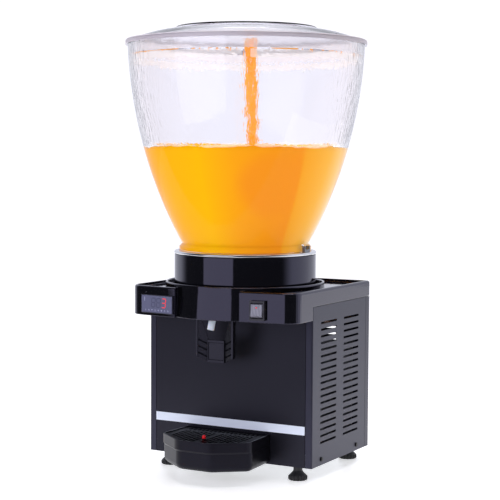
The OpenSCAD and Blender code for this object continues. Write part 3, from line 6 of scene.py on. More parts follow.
import bpy
from mathutils import Matrix, Vector


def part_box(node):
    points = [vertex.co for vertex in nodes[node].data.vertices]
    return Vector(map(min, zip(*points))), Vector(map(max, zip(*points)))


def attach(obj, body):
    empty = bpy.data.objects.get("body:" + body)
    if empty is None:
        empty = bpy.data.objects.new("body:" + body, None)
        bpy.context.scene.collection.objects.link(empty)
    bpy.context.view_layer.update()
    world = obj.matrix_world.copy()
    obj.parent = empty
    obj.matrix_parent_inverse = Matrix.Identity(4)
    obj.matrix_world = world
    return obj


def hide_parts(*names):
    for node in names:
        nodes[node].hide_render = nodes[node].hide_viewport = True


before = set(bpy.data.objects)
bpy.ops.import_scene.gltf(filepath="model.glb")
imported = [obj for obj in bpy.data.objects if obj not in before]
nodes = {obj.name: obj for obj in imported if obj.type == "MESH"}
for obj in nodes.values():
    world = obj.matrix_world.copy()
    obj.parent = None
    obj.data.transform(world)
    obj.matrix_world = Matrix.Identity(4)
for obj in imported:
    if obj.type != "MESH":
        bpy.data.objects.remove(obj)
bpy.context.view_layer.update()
scene = bpy.context.scene

# Camera: one fixed view from the front right, a little above the middle of the machine.
# Its place and lens were fitted to the cabinet's edges and the bowl's rims.
camera_place = (1.07195, -1.94864, 0.49129)
camera_turn = math.radians(28.625)
camera_tilt = math.radians(90 - 3.767)
camera_roll = math.radians(0.32)
camera = bpy.data.objects.new("camera", bpy.data.cameras.new("camera"))
scene.collection.objects.link(camera)
camera.data.sensor_width = 36
camera.data.lens = 102.04
camera.data.clip_end = 50
camera.matrix_world = (
    Matrix.Translation(camera_place)
    @ Matrix.Rotation(camera_turn, 4, "Z")
    @ Matrix.Rotation(camera_tilt, 4, "X")
    @ Matrix.Rotation(camera_roll, 4, "Z")
)
scene.camera = camera
scene.view_settings.view_transform = "Standard"
scene.render.engine = "CYCLES"
scene.cycles.max_bounces = 14
scene.cycles.transmission_bounces = 12
scene.cycles.transparent_max_bounces = 16


# Floor: a white studio table top that reaches far behind the machine and is lit a little from within.
# It ends just in front of the machine, so that the upright black fronts mirror a dark room.
def linear(hex_code):
    """An sRGB hex colour as linear red, green, blue and alpha."""
    parts = [int(hex_code[i : i + 2], 16) / 255 for i in (1, 3, 5)]
    return [c / 12.92 if c <= 0.04045 else ((c + 0.055) / 1.055) ** 2.4 for c in parts] + [1.0]


def finish(name, colour, rough, metal=0.0, **sockets):
    """A named material on the standard shader, with constant values on its sockets."""
    material = bpy.data.materials.new(name)
    material.use_nodes = True
    shader = material.node_tree.nodes["Principled BSDF"]
    shader.inputs["Base Color"].default_value = linear(colour)
    shader.inputs["Roughness"].default_value = rough
    shader.inputs["Metallic"].default_value = metal
    for key, value in sockets.items():
        shader.inputs[key.replace("_", " ")].default_value = value
    return material


# Coated white board: even white with a soft shadow and a faint mirror image of the feet
board = finish(
    "white_studio_floor",
    "#f7f7f8",
    0.3,
    Specular_IOR_Level=0.3,
    Emission_Color=linear("#ffffff"),
    Emission_Strength=0.5,
)
floor_half = 1.8
floor_front = -0.42
floor_rear = 3
floor_mesh = bpy.data.meshes.new("floor")
floor_corners = [
    (-floor_half, floor_front, 0),
    (floor_half, floor_front, 0),
    (floor_half, floor_rear, 0),
    (-floor_half, floor_rear, 0),
]
floor_mesh.from_pydata(floor_corners, [], [(0, 1, 2, 3)])
floor_mesh.materials.append(board)
floor = bpy.data.objects.new("floor", floor_mesh)
scene.collection.objects.link(floor)


# Room: a bright white wall behind the machine that fades to a dark room in front of it.
# The camera sees plain white all round, and glass shows the same white a little dimmer. Mirror images
# take a cooler grey from it.
def add(tree, kind, feeds=None, **settings):
    """Adds a node with its settings; feeds gives its inputs a value or the socket that drives them."""
    node = tree.nodes.new(kind)
    for key, value in settings.items():
        setattr(node, key, value)
    for key, feed in (feeds or {}).items():
        if isinstance(feed, bpy.types.NodeSocket):
            tree.links.new(feed, node.inputs[key])
        else:
            node.inputs[key].default_value = feed
    return node


rearward = (-0.1, 0.995, 0)
glass_share = 0.84
wall_strength = 1.12
world = bpy.data.worlds.new("studio")
world.use_nodes = True
scene.world = world
sky = world.node_tree
ray = add(sky, "ShaderNodeLightPath").outputs
toward = add(sky, "ShaderNodeTexCoord").outputs["Generated"]
rear = add(sky, "ShaderNodeVectorMath", {0: toward, 1: rearward}, operation="DOT_PRODUCT")
wall_glow = add(
    sky,
    "ShaderNodeMapRange",
    {"Value": rear.outputs["Value"], "From Min": -0.12, "From Max": 0.3, "To Min": 0.06, "To Max": 1.0},
    interpolation_type="SMOOTHSTEP",
)
backdrop = add(
    sky,
    "ShaderNodeMath",
    {0: wall_glow.outputs[0], 1: ray["Is Camera Ray"]},
    operation="MAXIMUM",
)
through = add(sky, "ShaderNodeMath", {0: ray["Is Transmission Ray"], 1: glass_share}, operation="MULTIPLY")
seen = add(sky, "ShaderNodeMath", {0: backdrop.outputs[0], 1: through.outputs[0]}, operation="MAXIMUM")
strength = add(sky, "ShaderNodeMath", {0: seen.outputs[0], 1: wall_strength}, operation="MULTIPLY")
mirrored = add(
    sky,
    "ShaderNodeMath",
    {0: ray["Is Glossy Ray"], 1: ray["Is Transmission Ray"]},
    operation="SUBTRACT",
)
wall_hue = add(
    sky,
    "ShaderNodeMix",
    {"Factor": mirrored.outputs[0], "A": linear("#fbfaff"), "B": linear("#e0e2ee")},
    data_type="RGBA",
)
background = sky.nodes["Background"]
sky.links.new(wall_hue.outputs["Result"], background.inputs["Color"])
sky.links.new(strength.outputs[0], background.inputs["Strength"])


# Lamps: a broad softbox in front on the left, whose image stands as grey bands in the gloss, and another
# overhead. A fill in front lights the matt faces and leaves no image of its own.
def softbox(name, place, aim, width, height, radiance, colour="#ffffff"):
    """A rectangular studio light of even brightness, given as the radiance of its face."""
    data = bpy.data.lights.new(name, "AREA")
    data.shape = "RECTANGLE"
    data.size = width
    data.size_y = height
    data.energy = radiance * math.pi * width * height
    data.color = linear(colour)[:3]
    lamp = bpy.data.objects.new(name, data)
    lamp.location = place
    lamp.rotation_euler = (Vector(aim) - Vector(place)).to_track_quat("-Z", "Y").to_euler()
    scene.collection.objects.link(lamp)
    return lamp


softbox(
    "left_softbox",
    place=(-0.78, -2.80, 0.7),
    aim=(0, 0, 0.35),
    width=2.8,
    height=2.6,
    radiance=1.05,
    colour="#f1efff",
)
softbox("overhead_softbox", place=(0.1, -0.1, 2.6), aim=(0, 0, 0), width=1.7, height=1.7, radiance=3.6)
fill = softbox(
    "front_fill",
    place=(-0.3, -3.0, 0.9),
    aim=(0, 0, 0.3),
    width=2.4,
    height=1.8,
    radiance=4.0,
    colour="#edf0ff",
)
fill.visible_glossy = False
fill.visible_transmission = False


# Cabinet panels: folded sheet steel; the side panels wrap the front corners and carry punched vent slots.
# They are screwed to a galvanised base pan and top plate; the fan's shroud and the inner brackets are of the
# same sheet. A pale film stripe is stuck across the front.
def grain(material, width, depth):
    """Fine surface relief on a material: the width and depth of its grains in metres."""
    tree = material.node_tree
    place = add(tree, "ShaderNodeTexCoord").outputs["Object"]
    noise = add(tree, "ShaderNodeTexNoise", {"Vector": place, "Scale": 1 / width, "Detail": 2.0})
    relief = add(tree, "ShaderNodeBump", {"Height": noise.outputs[0], "Strength": 1.0, "Distance": depth})
    tree.links.new(relief.outputs[0], tree.nodes["Principled BSDF"].inputs["Normal"])


def dress(material, *names):
    """Gives CAD nodes their material."""
    for name in names:
        mesh = nodes[name].data
        mesh.materials.clear()
        mesh.materials.append(material)


# Black powder coat, sprayed and baked: its fine peel spreads each highlight to a satin haze
coat = finish(
    "satin_black_powder_coat",
    "#0e0d12",
    0.4,
    Specular_IOR_Level=0.4,
    Specular_Tint=linear("#e3e3ff"),
)
# The peel, about 0.3 mm wide on a real coat, is drawn 0.6 mm wide so that it shows in a close view
peel_width = 0.0006
peel_depth = 0.00002
grain(coat, peel_width, peel_depth)
dress(coat, "front_panel")
# The same coat as a lit copy for the sides: a painted stronger sheen and a slightly lighter base, so that the
# sides turn grey under the bright wall
side_coat_painted_sheen = finish(
    "powder_coat_painted_sheen",
    "#111015",
    0.4,
    Specular_IOR_Level=0.75,
    Specular_Tint=linear("#d8d9ff"),
)
grain(side_coat_painted_sheen, peel_width, peel_depth)
dress(side_coat_painted_sheen, "left_side_panel", "right_side_panel", "rear_panel")
# Hot-dip galvanised sheet: dull silver without a clear image
zinc = finish("galvanised_steel", "#a9adb2", 0.38, 1.0)
dress(zinc, "base_pan", "top_plate", "fan_shroud", "fan_bracket", "tray_bracket")
# Printed vinyl film: flat pale blue-grey, nearly matt
film = finish("pale_satin_film", "#dbe1ec", 0.65)
dress(film, "accent_stripe")
# Black zinc plate: dark with a small metallic glint on the heads
black_zinc = finish("black_zinc_screw", "#141417", 0.4, 0.6)
dress(black_zinc, "panel_screws")

# Feet and bushes: black nylon mouldings; each foot screws into a weld nut in the base pan.
# The same nylon makes the bush in the rear panel, the tap's bracket and the compressor's terminal box.

# Nylon from a spark-eroded tool: a soft grey sheen. The tool's texture, about 0.1 mm wide, is drawn 0.8 mm
# wide so that it shows in a close view
nylon = finish("black_nylon", "#141417", 0.45)
grain(nylon, width=0.0008, depth=0.00003)
dress(nylon, "foot_front_left", "foot_front_right", "foot_rear_left", "foot_rear_right")
dress(nylon, "cord_gland", "tap_bracket", "terminal_box")

# Top housing and collar: two black ABS mouldings. The housing caps the cabinet with its control pods and
# its round bulge; the collar's spigot sits in the housing's deck and goes round the bowl's seat.

# ABS from a polished tool: black mirror with sharp grey bands where the lamps stand
gloss = finish(
    "gloss_black_abs",
    "#08080a",
    0.06,
    Specular_IOR_Level=0.9,
    Specular_Tint=linear("#dfdcff"),
)
# Moulded edges are round by 1.6 mm, which draws a thin bright line along them
edge_round = 0.0016
tree = gloss.node_tree
rounded = add(tree, "ShaderNodeBevel", {"Radius": edge_round}, samples=6)
tree.links.new(rounded.outputs[0], tree.nodes["Principled BSDF"].inputs["Normal"])
dress(gloss, "top_housing", "collar")

# Bowl seat: a drawn stainless deck and drum, cold from the coil inside them, on a bed of poured foam.
# Two folded saddles on the deck take the bowl's lugs, and a silicone ring seals its foot.

# Polished stainless: bright, with a slightly soft image of the room
stainless = finish("polished_stainless", "#d4d6da", 0.2, 1.0)
dress(stainless, "evaporator_deck", "evaporator_drum", "drain_pipe")
# Folded stainless left as rolled: darker and duller than the deck
saddle_steel = finish("dull_stainless", "#77797f", 0.35, 1.0)
dress(saddle_steel, "bowl_clips")
# Polyurethane foam: pale yellow and fully matt
foam = finish("yellow_foam", "#e4d9b0", 0.9)
dress(foam, "insulation")
# Silicone rubber: milky white, with light that spreads a little under its skin
silicone = finish("white_silicone", "#ececf2", 0.45, Subsurface_Weight=0.2)
dress(silicone, "bowl_gasket", "outlet_tube")

# Pump: a moulded impeller and its cover on the drum's top. A ring magnet on the motor's shaft turns the
# impeller through the closed steel, so the drum needs no seal round a shaft.

# Food-safe acetal: clean white with a broad soft highlight
white = finish("white_moulding", "#eeeeec", 0.4)
dress(white, "impeller", "pump_cover")
# Sintered ferrite: dark grey and dry
ferrite = finish("sintered_ferrite", "#3f3f45", 0.6)
dress(ferrite, "drive_magnet")
# Ground steel, also for the lever's pin and spring and the weld nuts: bright and plain
ground = finish("ground_steel", "#b9bcc2", 0.25, 1.0)
dress(ground, "drive_shaft", "fan_shaft", "lever_pin", "lever_spring", "foot_nuts")
# Dipped motor enamel: mid grey, half matt
motor_coat = finish("grey_motor_enamel", "#585961", 0.5)
dress(motor_coat, "pump_motor", "fan_motor")

# Refrigeration: a welded compressor shell on rubber mounts, brazed copper lines with a drier, and a finned
# condenser with its fan. All of it stands on the base pan behind the vents.

# Black enamel, dipped and baked: smooth with a clear highlight
enamel = finish("black_enamel", "#1b1b1e", 0.3)
dress(enamel, "compressor")
# Moulded rubber: deep black without shine
rubber = finish("black_rubber", "#19191b", 0.8)
dress(rubber, "compressor_mounts")
# Drawn copper: warm and bright, a little dulled by handling
copper = finish("copper_tube", "#b87347", 0.3, 1.0)
dress(copper, "evaporator_coil", "condenser_tube", "filter_drier")
dress(copper, "discharge_line", "suction_line", "liquid_line")
# Mill-finish aluminium sheet: light silver with a blurred image
mill = finish("mill_aluminium", "#c9cbce", 0.35, 1.0)
dress(mill, "condenser_fins", "fan_blade")

# Tap lever: one black ABS moulding that hangs on a steel pin under the housing.
# A cup pushes its pad back to open the tap; the grooves on its wings stiffen and mark it.

# ABS from a blasted tool: satin black with a cool sheen. The tool's grain, about 0.1 mm wide, is drawn 0.9 mm
# wide so that it shows in a close view
satin = finish("satin_black_abs", "#121216", 0.25, Specular_Tint=linear("#e6e3ff"))
grain(satin, width=0.0009, depth=0.00002)
# Painted shade in the deep grooves: their sheen is cut where the sky is hidden within 5 mm, as if they
# mirrored only the lever itself
groove_reach = 0.005
tree = satin.node_tree
groove_occlusion = add(tree, "ShaderNodeAmbientOcclusion", {"Distance": groove_reach}, only_local=True)
painted_groove_shade = add(
    tree,
    "ShaderNodeMapRange",
    {"Value": groove_occlusion.outputs["AO"], "From Min": 0.55, "From Max": 0.95, "To Max": 0.5},
)
tree.links.new(painted_groove_shade.outputs[0], tree.nodes["Principled BSDF"].inputs["Specular IOR Level"])
dress(satin, "tap_lever")


# Drip tray: a black ABS moulding that hooks on a strip of the front panel, with a lift-out slotted grille.
# A float on a dark stem stands up through the grille and shows its red cap when the tray is full.
def soften(radius, *names, segments=2):
    """Breaks the sharp edges of CAD nodes by a small radius, in metres."""
    for name in names:
        part = nodes[name]
        weld = part.modifiers.new("weld", "WELD")
        weld.merge_threshold = 0.00001
        flat = part.modifiers.new("flat", "DECIMATE")
        flat.decimate_type = "DISSOLVE"
        flat.angle_limit = math.radians(0.2)
        bevel = part.modifiers.new("bevel", "BEVEL")
        bevel.width = radius
        bevel.segments = segments
        bevel.limit_method = "ANGLE"
        bevel.angle_limit = math.radians(32)
        bevel.harden_normals = False
        normals = part.modifiers.new("normals", "WEIGHTED_NORMAL")
        normals.keep_sharp = True
        part.data.shade_smooth()


# ABS, moulded: deep black with a soft highlight along the broken edges
tray_black = finish(
    "black_tray_abs",
    "#08070b",
    0.3,
    Specular_IOR_Level=0.22,
    Specular_Tint=linear("#e0deff"),
)
dress(tray_black, "drip_tray")
soften(0.0010, "drip_tray", segments=3)
# The grille's ABS is worn by cups: blacker and without a clear image
grille_black = finish("black_grille_abs", "#060509", 0.42, Specular_IOR_Level=0.1)
dress(grille_black, "drip_grille")
soften(0.0003, "drip_grille")
# Coloured polypropylene: strong red at the cap, black on the stem
red = finish("red_float_plastic", "#d3141d", 0.3)
cap_tall = 0.005
float_low, float_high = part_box("float_indicator")
cap_from = 1 - cap_tall / (float_high[2] - float_low[2])
tree = red.node_tree
place = add(tree, "ShaderNodeTexCoord").outputs["Generated"]
height = add(tree, "ShaderNodeSeparateXYZ", {"Vector": place}).outputs["Z"]
on_cap = add(tree, "ShaderNodeMath", {0: height, 1: cap_from}, operation="GREATER_THAN")
float_hue = add(
    tree,
    "ShaderNodeMix",
    {"Factor": on_cap.outputs[0], "A": linear("#101013"), "B": linear("#e0161f")},
    data_type="RGBA",
)
tree.links.new(float_hue.outputs["Result"], tree.nodes["Principled BSDF"].inputs["Base Color"])
dress(red, "float_indicator")

# Switch: a deep bezel clipped into the right-hand pod, and a rocker on its own trunnions.
# Both are moulded; the rocker's hollow face carries fine upright ribs and a printed red dot.

# Glass-filled nylon, moulded: dark slate with a satin edge
switch_black = finish("satin_switch_moulding", "#26252c", 0.3)
dress(switch_black, "switch_body")
soften(0.0008, "switch_body", segments=3)
# Grey nylon: mid grey that lightens where it tips to the lamps
rocker_grey = finish("grey_rocker_moulding", "#6f6e7a", 0.34)
dress(rocker_grey, "switch_rocker")
soften(0.0005, "switch_rocker")
pod_bow_r = 0.750
pod_front_y = -0.1227
control_z = 0.265
switch_x = 0.08725


def pod_face(x):
    """The frame of a control on the bowed front: its origin on the pod, -Y outwards."""
    swing = Matrix.Rotation(math.asin(x / pod_bow_r), 4, "Z")
    bow_centre = Matrix.Translation((0, pod_front_y + pod_bow_r, 0))
    return bow_centre @ swing @ Matrix.Translation((0, -pod_bow_r, control_z))


def piece(name, verts, faces, body, material, place=None, smooth=False):
    """A new mesh that rides a body of the frame."""
    mesh = bpy.data.meshes.new(name)
    mesh.from_pydata(verts, [], faces)
    mesh.materials.append(material)
    if place is not None:
        mesh.transform(place)
    if smooth:
        mesh.shade_smooth()
    mesh.update()
    made = bpy.data.objects.new(name, mesh)
    scene.collection.objects.link(made)
    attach(made, body)
    return made


rocker_proud = 0.003
rocker_tilt = math.radians(-8)
rocker_pivot = pod_face(switch_x) @ Matrix.Translation((0, -rocker_proud, 0))
rocker_place = rocker_pivot @ Matrix.Rotation(rocker_tilt, 4, "X")
hollow_r = 0.036
hollow_y = -0.0416


def rocker_y(z):
    """The hollow face of the rocker, an arc about an axis in front of it."""
    return hollow_y + math.sqrt(hollow_r**2 - z**2)


rib_pitch = 0.0023
rib_half_tall = 0.0084
rib_section = [(-0.0006, -0.0002), (-0.0003, 0.0003), (0.0003, 0.0003), (0.0006, -0.0002)]
verts = []
faces = []
for rib in range(-3, 4):
    for i in range(9):
        z = rib_half_tall * (i / 4 - 1)
        first = len(verts)
        verts += [(rib * rib_pitch + x, rocker_y(z) - proud, z) for x, proud in rib_section]
        if i:
            faces += [(first - 4 + j, first - 3 + j, first + 1 + j, first + j) for j in range(3)]
# Painted highlight on the ribs: paler lines on the grey
rib_painted_highlight = finish("rib_painted_highlight_moulding", "#a9a8b4", 0.3)
piece("rocker_ribs", verts, faces, "rocker", rib_painted_highlight, rocker_place)
# Red pad print: a small even spot with a painted glow, so that it keeps its red in the shade
dot_red_painted_glow = finish("red_mark", "#e8202c", 0.4, Emission_Strength=0.6, Emission_Color=linear("#e8202c"))
dot_r = 0.0010
dot_z = 0.004
dot_proud = 0.0006
ring = [math.pi * i / 6 for i in range(12)]
dot_y = rocker_y(dot_z) - dot_proud
verts = [(dot_r * math.cos(a), dot_y, dot_z + dot_r * math.sin(a)) for a in ring]
piece("rocker_dot", verts, [tuple(range(11, -1, -1))], "rocker", dot_red_painted_glow, rocker_place)

# Temperature controller: a moulded case pushed through the left-hand pod, with a smoked window flush in it.
# Light bars behind the window form one lit digit and two dark ones, over two rows of printed marks.

# Slate ABS, moulded: dark blue-grey with a satin edge round the window
case_black = finish("slate_bezel_moulding", "#2d2d3b", 0.3)
dress(case_black, "controller_case")
soften(0.0012, "controller_case", segments=3)
# Smoked polycarbonate film: hazy blue-grey with a clear gloss
lens = finish("smoked_blue_lens", "#66677f", 0.14)
dress(lens, "controller_face")
# Lit bars glow an even red; dark ones are a shade deeper than the window
lit = finish("lit_red_bar", "#7a1016", 0.5, Emission_Strength=1.0, Emission_Color=linear("#f2343a"))
dim = finish("unlit_bar", "#3e3f57", 0.5)
# Screen print: pale blue-grey marks without gloss
mark = finish("pale_print", "#a9abc6", 0.5)
controller_x = -0.0875
window_proud = 0.00354
window = pod_face(controller_x) @ Matrix.Translation((0, -window_proud, 0))
print_thick = 0.00006
bar = 0.0013
bar_gap = 0.0006
digit_wide = 0.0058
digit_half_tall = 0.0068
digit_lean = 0.1
digit_z = 0.0023
upright = digit_half_tall - bar
bar_x = digit_wide / 2 + bar_gap
bar_z = digit_half_tall / 2
seven_bars = {
    "a": (0, digit_half_tall, digit_wide, bar),
    "b": (bar_x, bar_z, bar, upright),
    "c": (bar_x, -bar_z, bar, upright),
    "d": (0, -digit_half_tall, digit_wide, bar),
    "e": (-bar_x, -bar_z, bar, upright),
    "f": (-bar_x, bar_z, bar, upright),
    "g": (0, 0, digit_wide, bar),
}


def boxes(places):
    """Corners and faces of several boxes, each given by its centre and its three sizes."""
    verts = []
    faces = []
    sides = [(0, 1, 3, 2), (4, 6, 7, 5), (0, 4, 5, 1), (2, 3, 7, 6), (0, 2, 6, 4), (1, 5, 7, 3)]
    halves = (-0.5, 0.5)
    corners = [(a, b, c) for a in halves for b in halves for c in halves]
    for centre, sizes in places:
        first = len(verts)
        verts += [tuple(centre[i] + corner[i] * sizes[i] for i in range(3)) for corner in corners]
        faces += [tuple(first + i for i in side) for side in sides]
    return verts, faces


def digit(name, at_x, bars, material):
    """One digit of seven bars, leaning a little to the right."""
    shapes = [seven_bars[letter] for letter in bars]
    verts, faces = boxes([((x, 0, z), (wide, print_thick, tall)) for x, z, wide, tall in shapes])
    verts = [(x + digit_lean * z + at_x, y, z + digit_z) for x, y, z in verts]
    piece(name, verts, faces, "cabinet", material, window)


digit("digit_units", 0.0138, "abgcd", lit)
digit("digit_tens", 0.0036, "abcdefg", dim)
digit("digit_hundreds", -0.0065, "abcdefg", dim)
# One upright mark on the left, and two rows of short dashes along the window's foot
prints = [((-0.0236, 0, 0.0073), (0.0009, print_thick, 0.0064))]
dash_from_x = -0.0215
dash_pitch = 0.0062
upper_row_z = -0.0090
lower_row_z = -0.0104
for i in range(8):
    x = dash_from_x + dash_pitch * i
    upper_wide = 0.0014 + 0.0006 * (i % 3)
    lower_wide = 0.0008 + 0.0008 * (i % 2)
    prints.append(((x, 0, upper_row_z), (upper_wide, print_thick, 0.0009)))
    prints.append(((x + 0.0003 * (i % 2), 0, lower_row_z), (lower_wide, print_thick, 0.0006)))
verts, faces = boxes(prints)
piece("controller_print", verts, faces, "cabinet", mark, window)

# Lap strips: narrow strips of coated sheet steel, welded behind the side panels' front folds.
# The front panel's edges rest on them, so no light comes through the two upright seams.
lap_wide = 0.008
lap_thick = 0.001
lap_tall = 0.200
lap_middle_z = 0.143
lap_gap = 0.0002
half_seam = 0.0005
panel_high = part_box("front_panel")[1]
lap_x = panel_high[0] + half_seam
lap_y = panel_high[1] + lap_gap + lap_thick / 2
laps = [((side * lap_x, lap_y, lap_middle_z), (lap_wide, lap_thick, lap_tall)) for side in (-1, 1)]
verts, faces = boxes(laps)
piece("lap_strips", verts, faces, "cabinet", coat)


# Bowl: one clear polycarbonate moulding whose wall is a single arc from neck to rim, rebuilt smooth over
# the CAD shape. Two lugs at its foot lock in the saddles of the seat. Juice that ran down leaves the inside
# of the wall rippled and a little stained above the drink.
def revolve(name, profile, body, materials, steps=160):
    """Turns a closed profile of (radius, height, material index) about the axis."""
    verts = []
    faces = []
    marks = []
    count = len(profile)
    for i in range(steps):
        a = 2 * math.pi * i / steps
        verts += [(r * math.cos(a), r * math.sin(a), z) for r, z, _ in profile]
    for i in range(steps):
        j = (i + 1) % steps
        for k in range(count):
            n = (k + 1) % count
            faces.append((i * count + k, j * count + k, j * count + n, i * count + n))
            marks.append(profile[k][2])
    mesh = bpy.data.meshes.new(name)
    mesh.from_pydata(verts, [], faces)
    for material in materials:
        mesh.materials.append(material)
    mesh.polygons.foreach_set("material_index", marks)
    mesh.shade_smooth()
    mesh.set_sharp_from_angle(angle=math.radians(35))
    made = bpy.data.objects.new(name, mesh)
    scene.collection.objects.link(made)
    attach(made, body)
    return made


bowl_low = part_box("bowl")[0][2]
rim_r, _, bowl_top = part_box("bowl_wall_top")[1]
neck_r = 0.0991
neck_tall = 0.011
neck_z = bowl_low + neck_tall
foot_r = 0.1036
foot_tall = 0.0065
wall = 0.0035
curve_r = 0.699
chord_r = rim_r - neck_r
chord_z = bowl_top - neck_z
chord = math.hypot(chord_r, chord_z)
off_chord = math.sqrt(curve_r**2 - (chord / 2) ** 2)
arc_r = (rim_r + neck_r) / 2 - chord_z / chord * off_chord
arc_z = (bowl_top + neck_z) / 2 + chord_r / chord * off_chord
juice_level = 0.5055


def bowl_r(z):
    """The bowl's outer radius at a height, on the arc of its wall."""
    return arc_r + math.sqrt(curve_r**2 - (z - arc_z) ** 2)


# Clear polycarbonate: pale rims and sharp images of the room. Juice wets the wall from behind and takes
# most of its mirror image away, so the index falls below the drink's level
clear = finish("clear_polycarbonate", "#f7f7fc", 0.02, Transmission_Weight=1.0)
tree = clear.node_tree
place = add(tree, "ShaderNodeTexCoord").outputs["Object"]
height = add(tree, "ShaderNodeSeparateXYZ", {"Vector": place}).outputs["Z"]
index = add(
    tree,
    "ShaderNodeMapRange",
    {
        "Value": height,
        "From Min": juice_level - 0.0055,
        "From Max": juice_level + 0.0065,
        "To Min": 1.14,
        "To Max": 1.45,
    },
)
tree.links.new(index.outputs[0], tree.nodes["Principled BSDF"].inputs["IOR"])
# The same wall wet with juice: upright streaks 5 mm wide over ripples 13 mm wide bend what is seen through
# it. The streaks carry a tan stain, painted in only where the wall is seen edge on, as painted shade for the
# longer path through the film
wet = finish("wet_polycarbonate", "#f7f7fc", 0.03, IOR=1.5, Transmission_Weight=1.0)
streak_wide = 0.00476
ripple_wide = 0.01333
film_relief = 0.00035
tree = wet.node_tree
place = add(tree, "ShaderNodeTexCoord").outputs["Object"]
drawn_out = add(tree, "ShaderNodeMapping", {"Vector": place, "Scale": (1, 1, 0.16)}).outputs[0]
streaks = add(
    tree,
    "ShaderNodeTexNoise",
    {"Vector": drawn_out, "Scale": 1 / streak_wide, "Detail": 3.0, "Distortion": 0.6},
).outputs[0]
sagging = add(tree, "ShaderNodeMapping", {"Vector": place, "Scale": (1, 1, 0.55)}).outputs[0]
ripples = add(
    tree,
    "ShaderNodeTexNoise",
    {"Vector": sagging, "Scale": 1 / ripple_wide, "Detail": 2.5, "Distortion": 0.8},
).outputs[0]
both = add(tree, "ShaderNodeMath", {0: streaks, 1: ripples}, operation="ADD").outputs[0]
relief = add(tree, "ShaderNodeBump", {"Height": both, "Strength": 1.0, "Distance": film_relief})
edge_on = add(tree, "ShaderNodeLayerWeight", {"Blend": 0.22}).outputs["Facing"]
stain_and_edge_shade = add(tree, "ShaderNodeMath", {0: edge_on, 1: streaks}, operation="MULTIPLY").outputs[0]
stained_with_edge_shade = add(
    tree,
    "ShaderNodeMix",
    {"Factor": stain_and_edge_shade, "A": linear("#f7f7fc"), "B": linear("#d9b187")},
    data_type="RGBA",
)
shader = tree.nodes["Principled BSDF"]
tree.links.new(relief.outputs[0], shader.inputs["Normal"])
tree.links.new(stained_with_edge_shade.outputs["Result"], shader.inputs["Base Color"])
rise = [neck_z + (bowl_top - neck_z) * i / 48 for i in range(49)]
profile = [(neck_r - wall, bowl_low, 0), (foot_r, bowl_low, 0), (foot_r, bowl_low + foot_tall, 0)]
profile += [(bowl_r(z), z, 0) for z in rise]
profile += [(bowl_r(z) - wall, z, 1) for z in reversed(rise)]
bowl = revolve("bowl_clear", profile, "bowl", [clear, wet])
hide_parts("bowl", "bowl_wall_top")
lug_x = 0.106
lug_z = bowl_low + 0.0085
lug_size = (0.0099, 0.0079, 0.0069)
verts, faces = boxes([((side * lug_x, 0, lug_z), lug_size) for side in (-1, 1)])
lug_pair = piece("bowl_lugs", verts, faces, "bowl", clear)

# Lid: a clear polycarbonate moulding with a brim on the bowl's edge, a skirt inside it and a stepped
# plateau. It is lifted off by its brim, on which eight small nubs stand.
lid_low, lid_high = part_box("lid")
lid_r = lid_high[0]
lid_top = lid_high[2]
skirt_low = lid_low[2]
seat_gap = 0.0001
brim_tall = 0.0075
brim_round = 0.0015
skirt_tall = 0.0155
skirt_gap = 0.0004
brim_low = bowl_top + seat_gap
brim_top = brim_low + brim_tall
skirt_r = bowl_r(bowl_top - skirt_tall) - wall - skirt_gap
lid_wall = 0.0025
dome_r = 0.112
dome_tall = 0.015
plateau_r = 0.110
plateau_round = 0.001
axis_r = 0.0005
dome = []
for i in range(17):
    up = i / 16
    dome.append((skirt_r - (skirt_r - dome_r) * up, brim_top + dome_tall * math.sin(math.pi / 2 * up), up))
profile = [(skirt_r - lid_wall, skirt_low, 0), (skirt_r, skirt_low, 0), (skirt_r, brim_low, 0)]
profile += [(lid_r, brim_low, 1), (lid_r, brim_top - brim_round, 1), (lid_r - brim_round, brim_top, 0)]
profile += [(r, z, 0) for r, z, up in dome]
profile += [(plateau_r, lid_top - plateau_round, 0), (plateau_r - plateau_round, lid_top, 0)]
profile += [(axis_r, lid_top, 0), (axis_r, lid_top - lid_wall, 0)]
profile += [(plateau_r - lid_wall, lid_top - lid_wall, 0)]
profile += [(r - lid_wall * up, z - lid_wall, 0) for r, z, up in reversed(dome)]
# Thin clear sheet, polished: pale, with weak images of the room. The index is matched to that paleness
lid_clear = finish("clear_lid_polycarbonate", "#f7f7fc", 0.02, IOR=1.25, Transmission_Weight=1.0)
# The brim's edge, satin from the tool, in a painted grey: half clear, it shows a soft grey band that stands
# in for the light bent through the brim
rim_painted_grey = finish("satin_edge_painted_grey", "#c9bfc6", 0.3, IOR=1.5, Transmission_Weight=0.3)
lid = revolve("lid_clear", profile, "lid", [lid_clear, rim_painted_grey])
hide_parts("lid")
# The bearing of the bowl's side that faces the camera
facing = math.radians(-61.4)
nub_size = (0.003, 0.004, 0.0024)
nub_inset = 0.0035
nub_rise = 0.0002
nub_at = (lid_r - nub_inset, 0, brim_top + nub_rise)
verts = []
faces = []
for i in range(8):
    swing = Matrix.Rotation(facing + math.pi / 4 * i, 4, "Z")
    nub_verts, nub_faces = boxes([(nub_at, nub_size)])
    faces += [tuple(len(verts) + n for n in side) for side in nub_faces]
    verts += [swing @ Vector(corner) for corner in nub_verts]
nubs = piece("lid_nubs", verts, faces, "lid", clear)
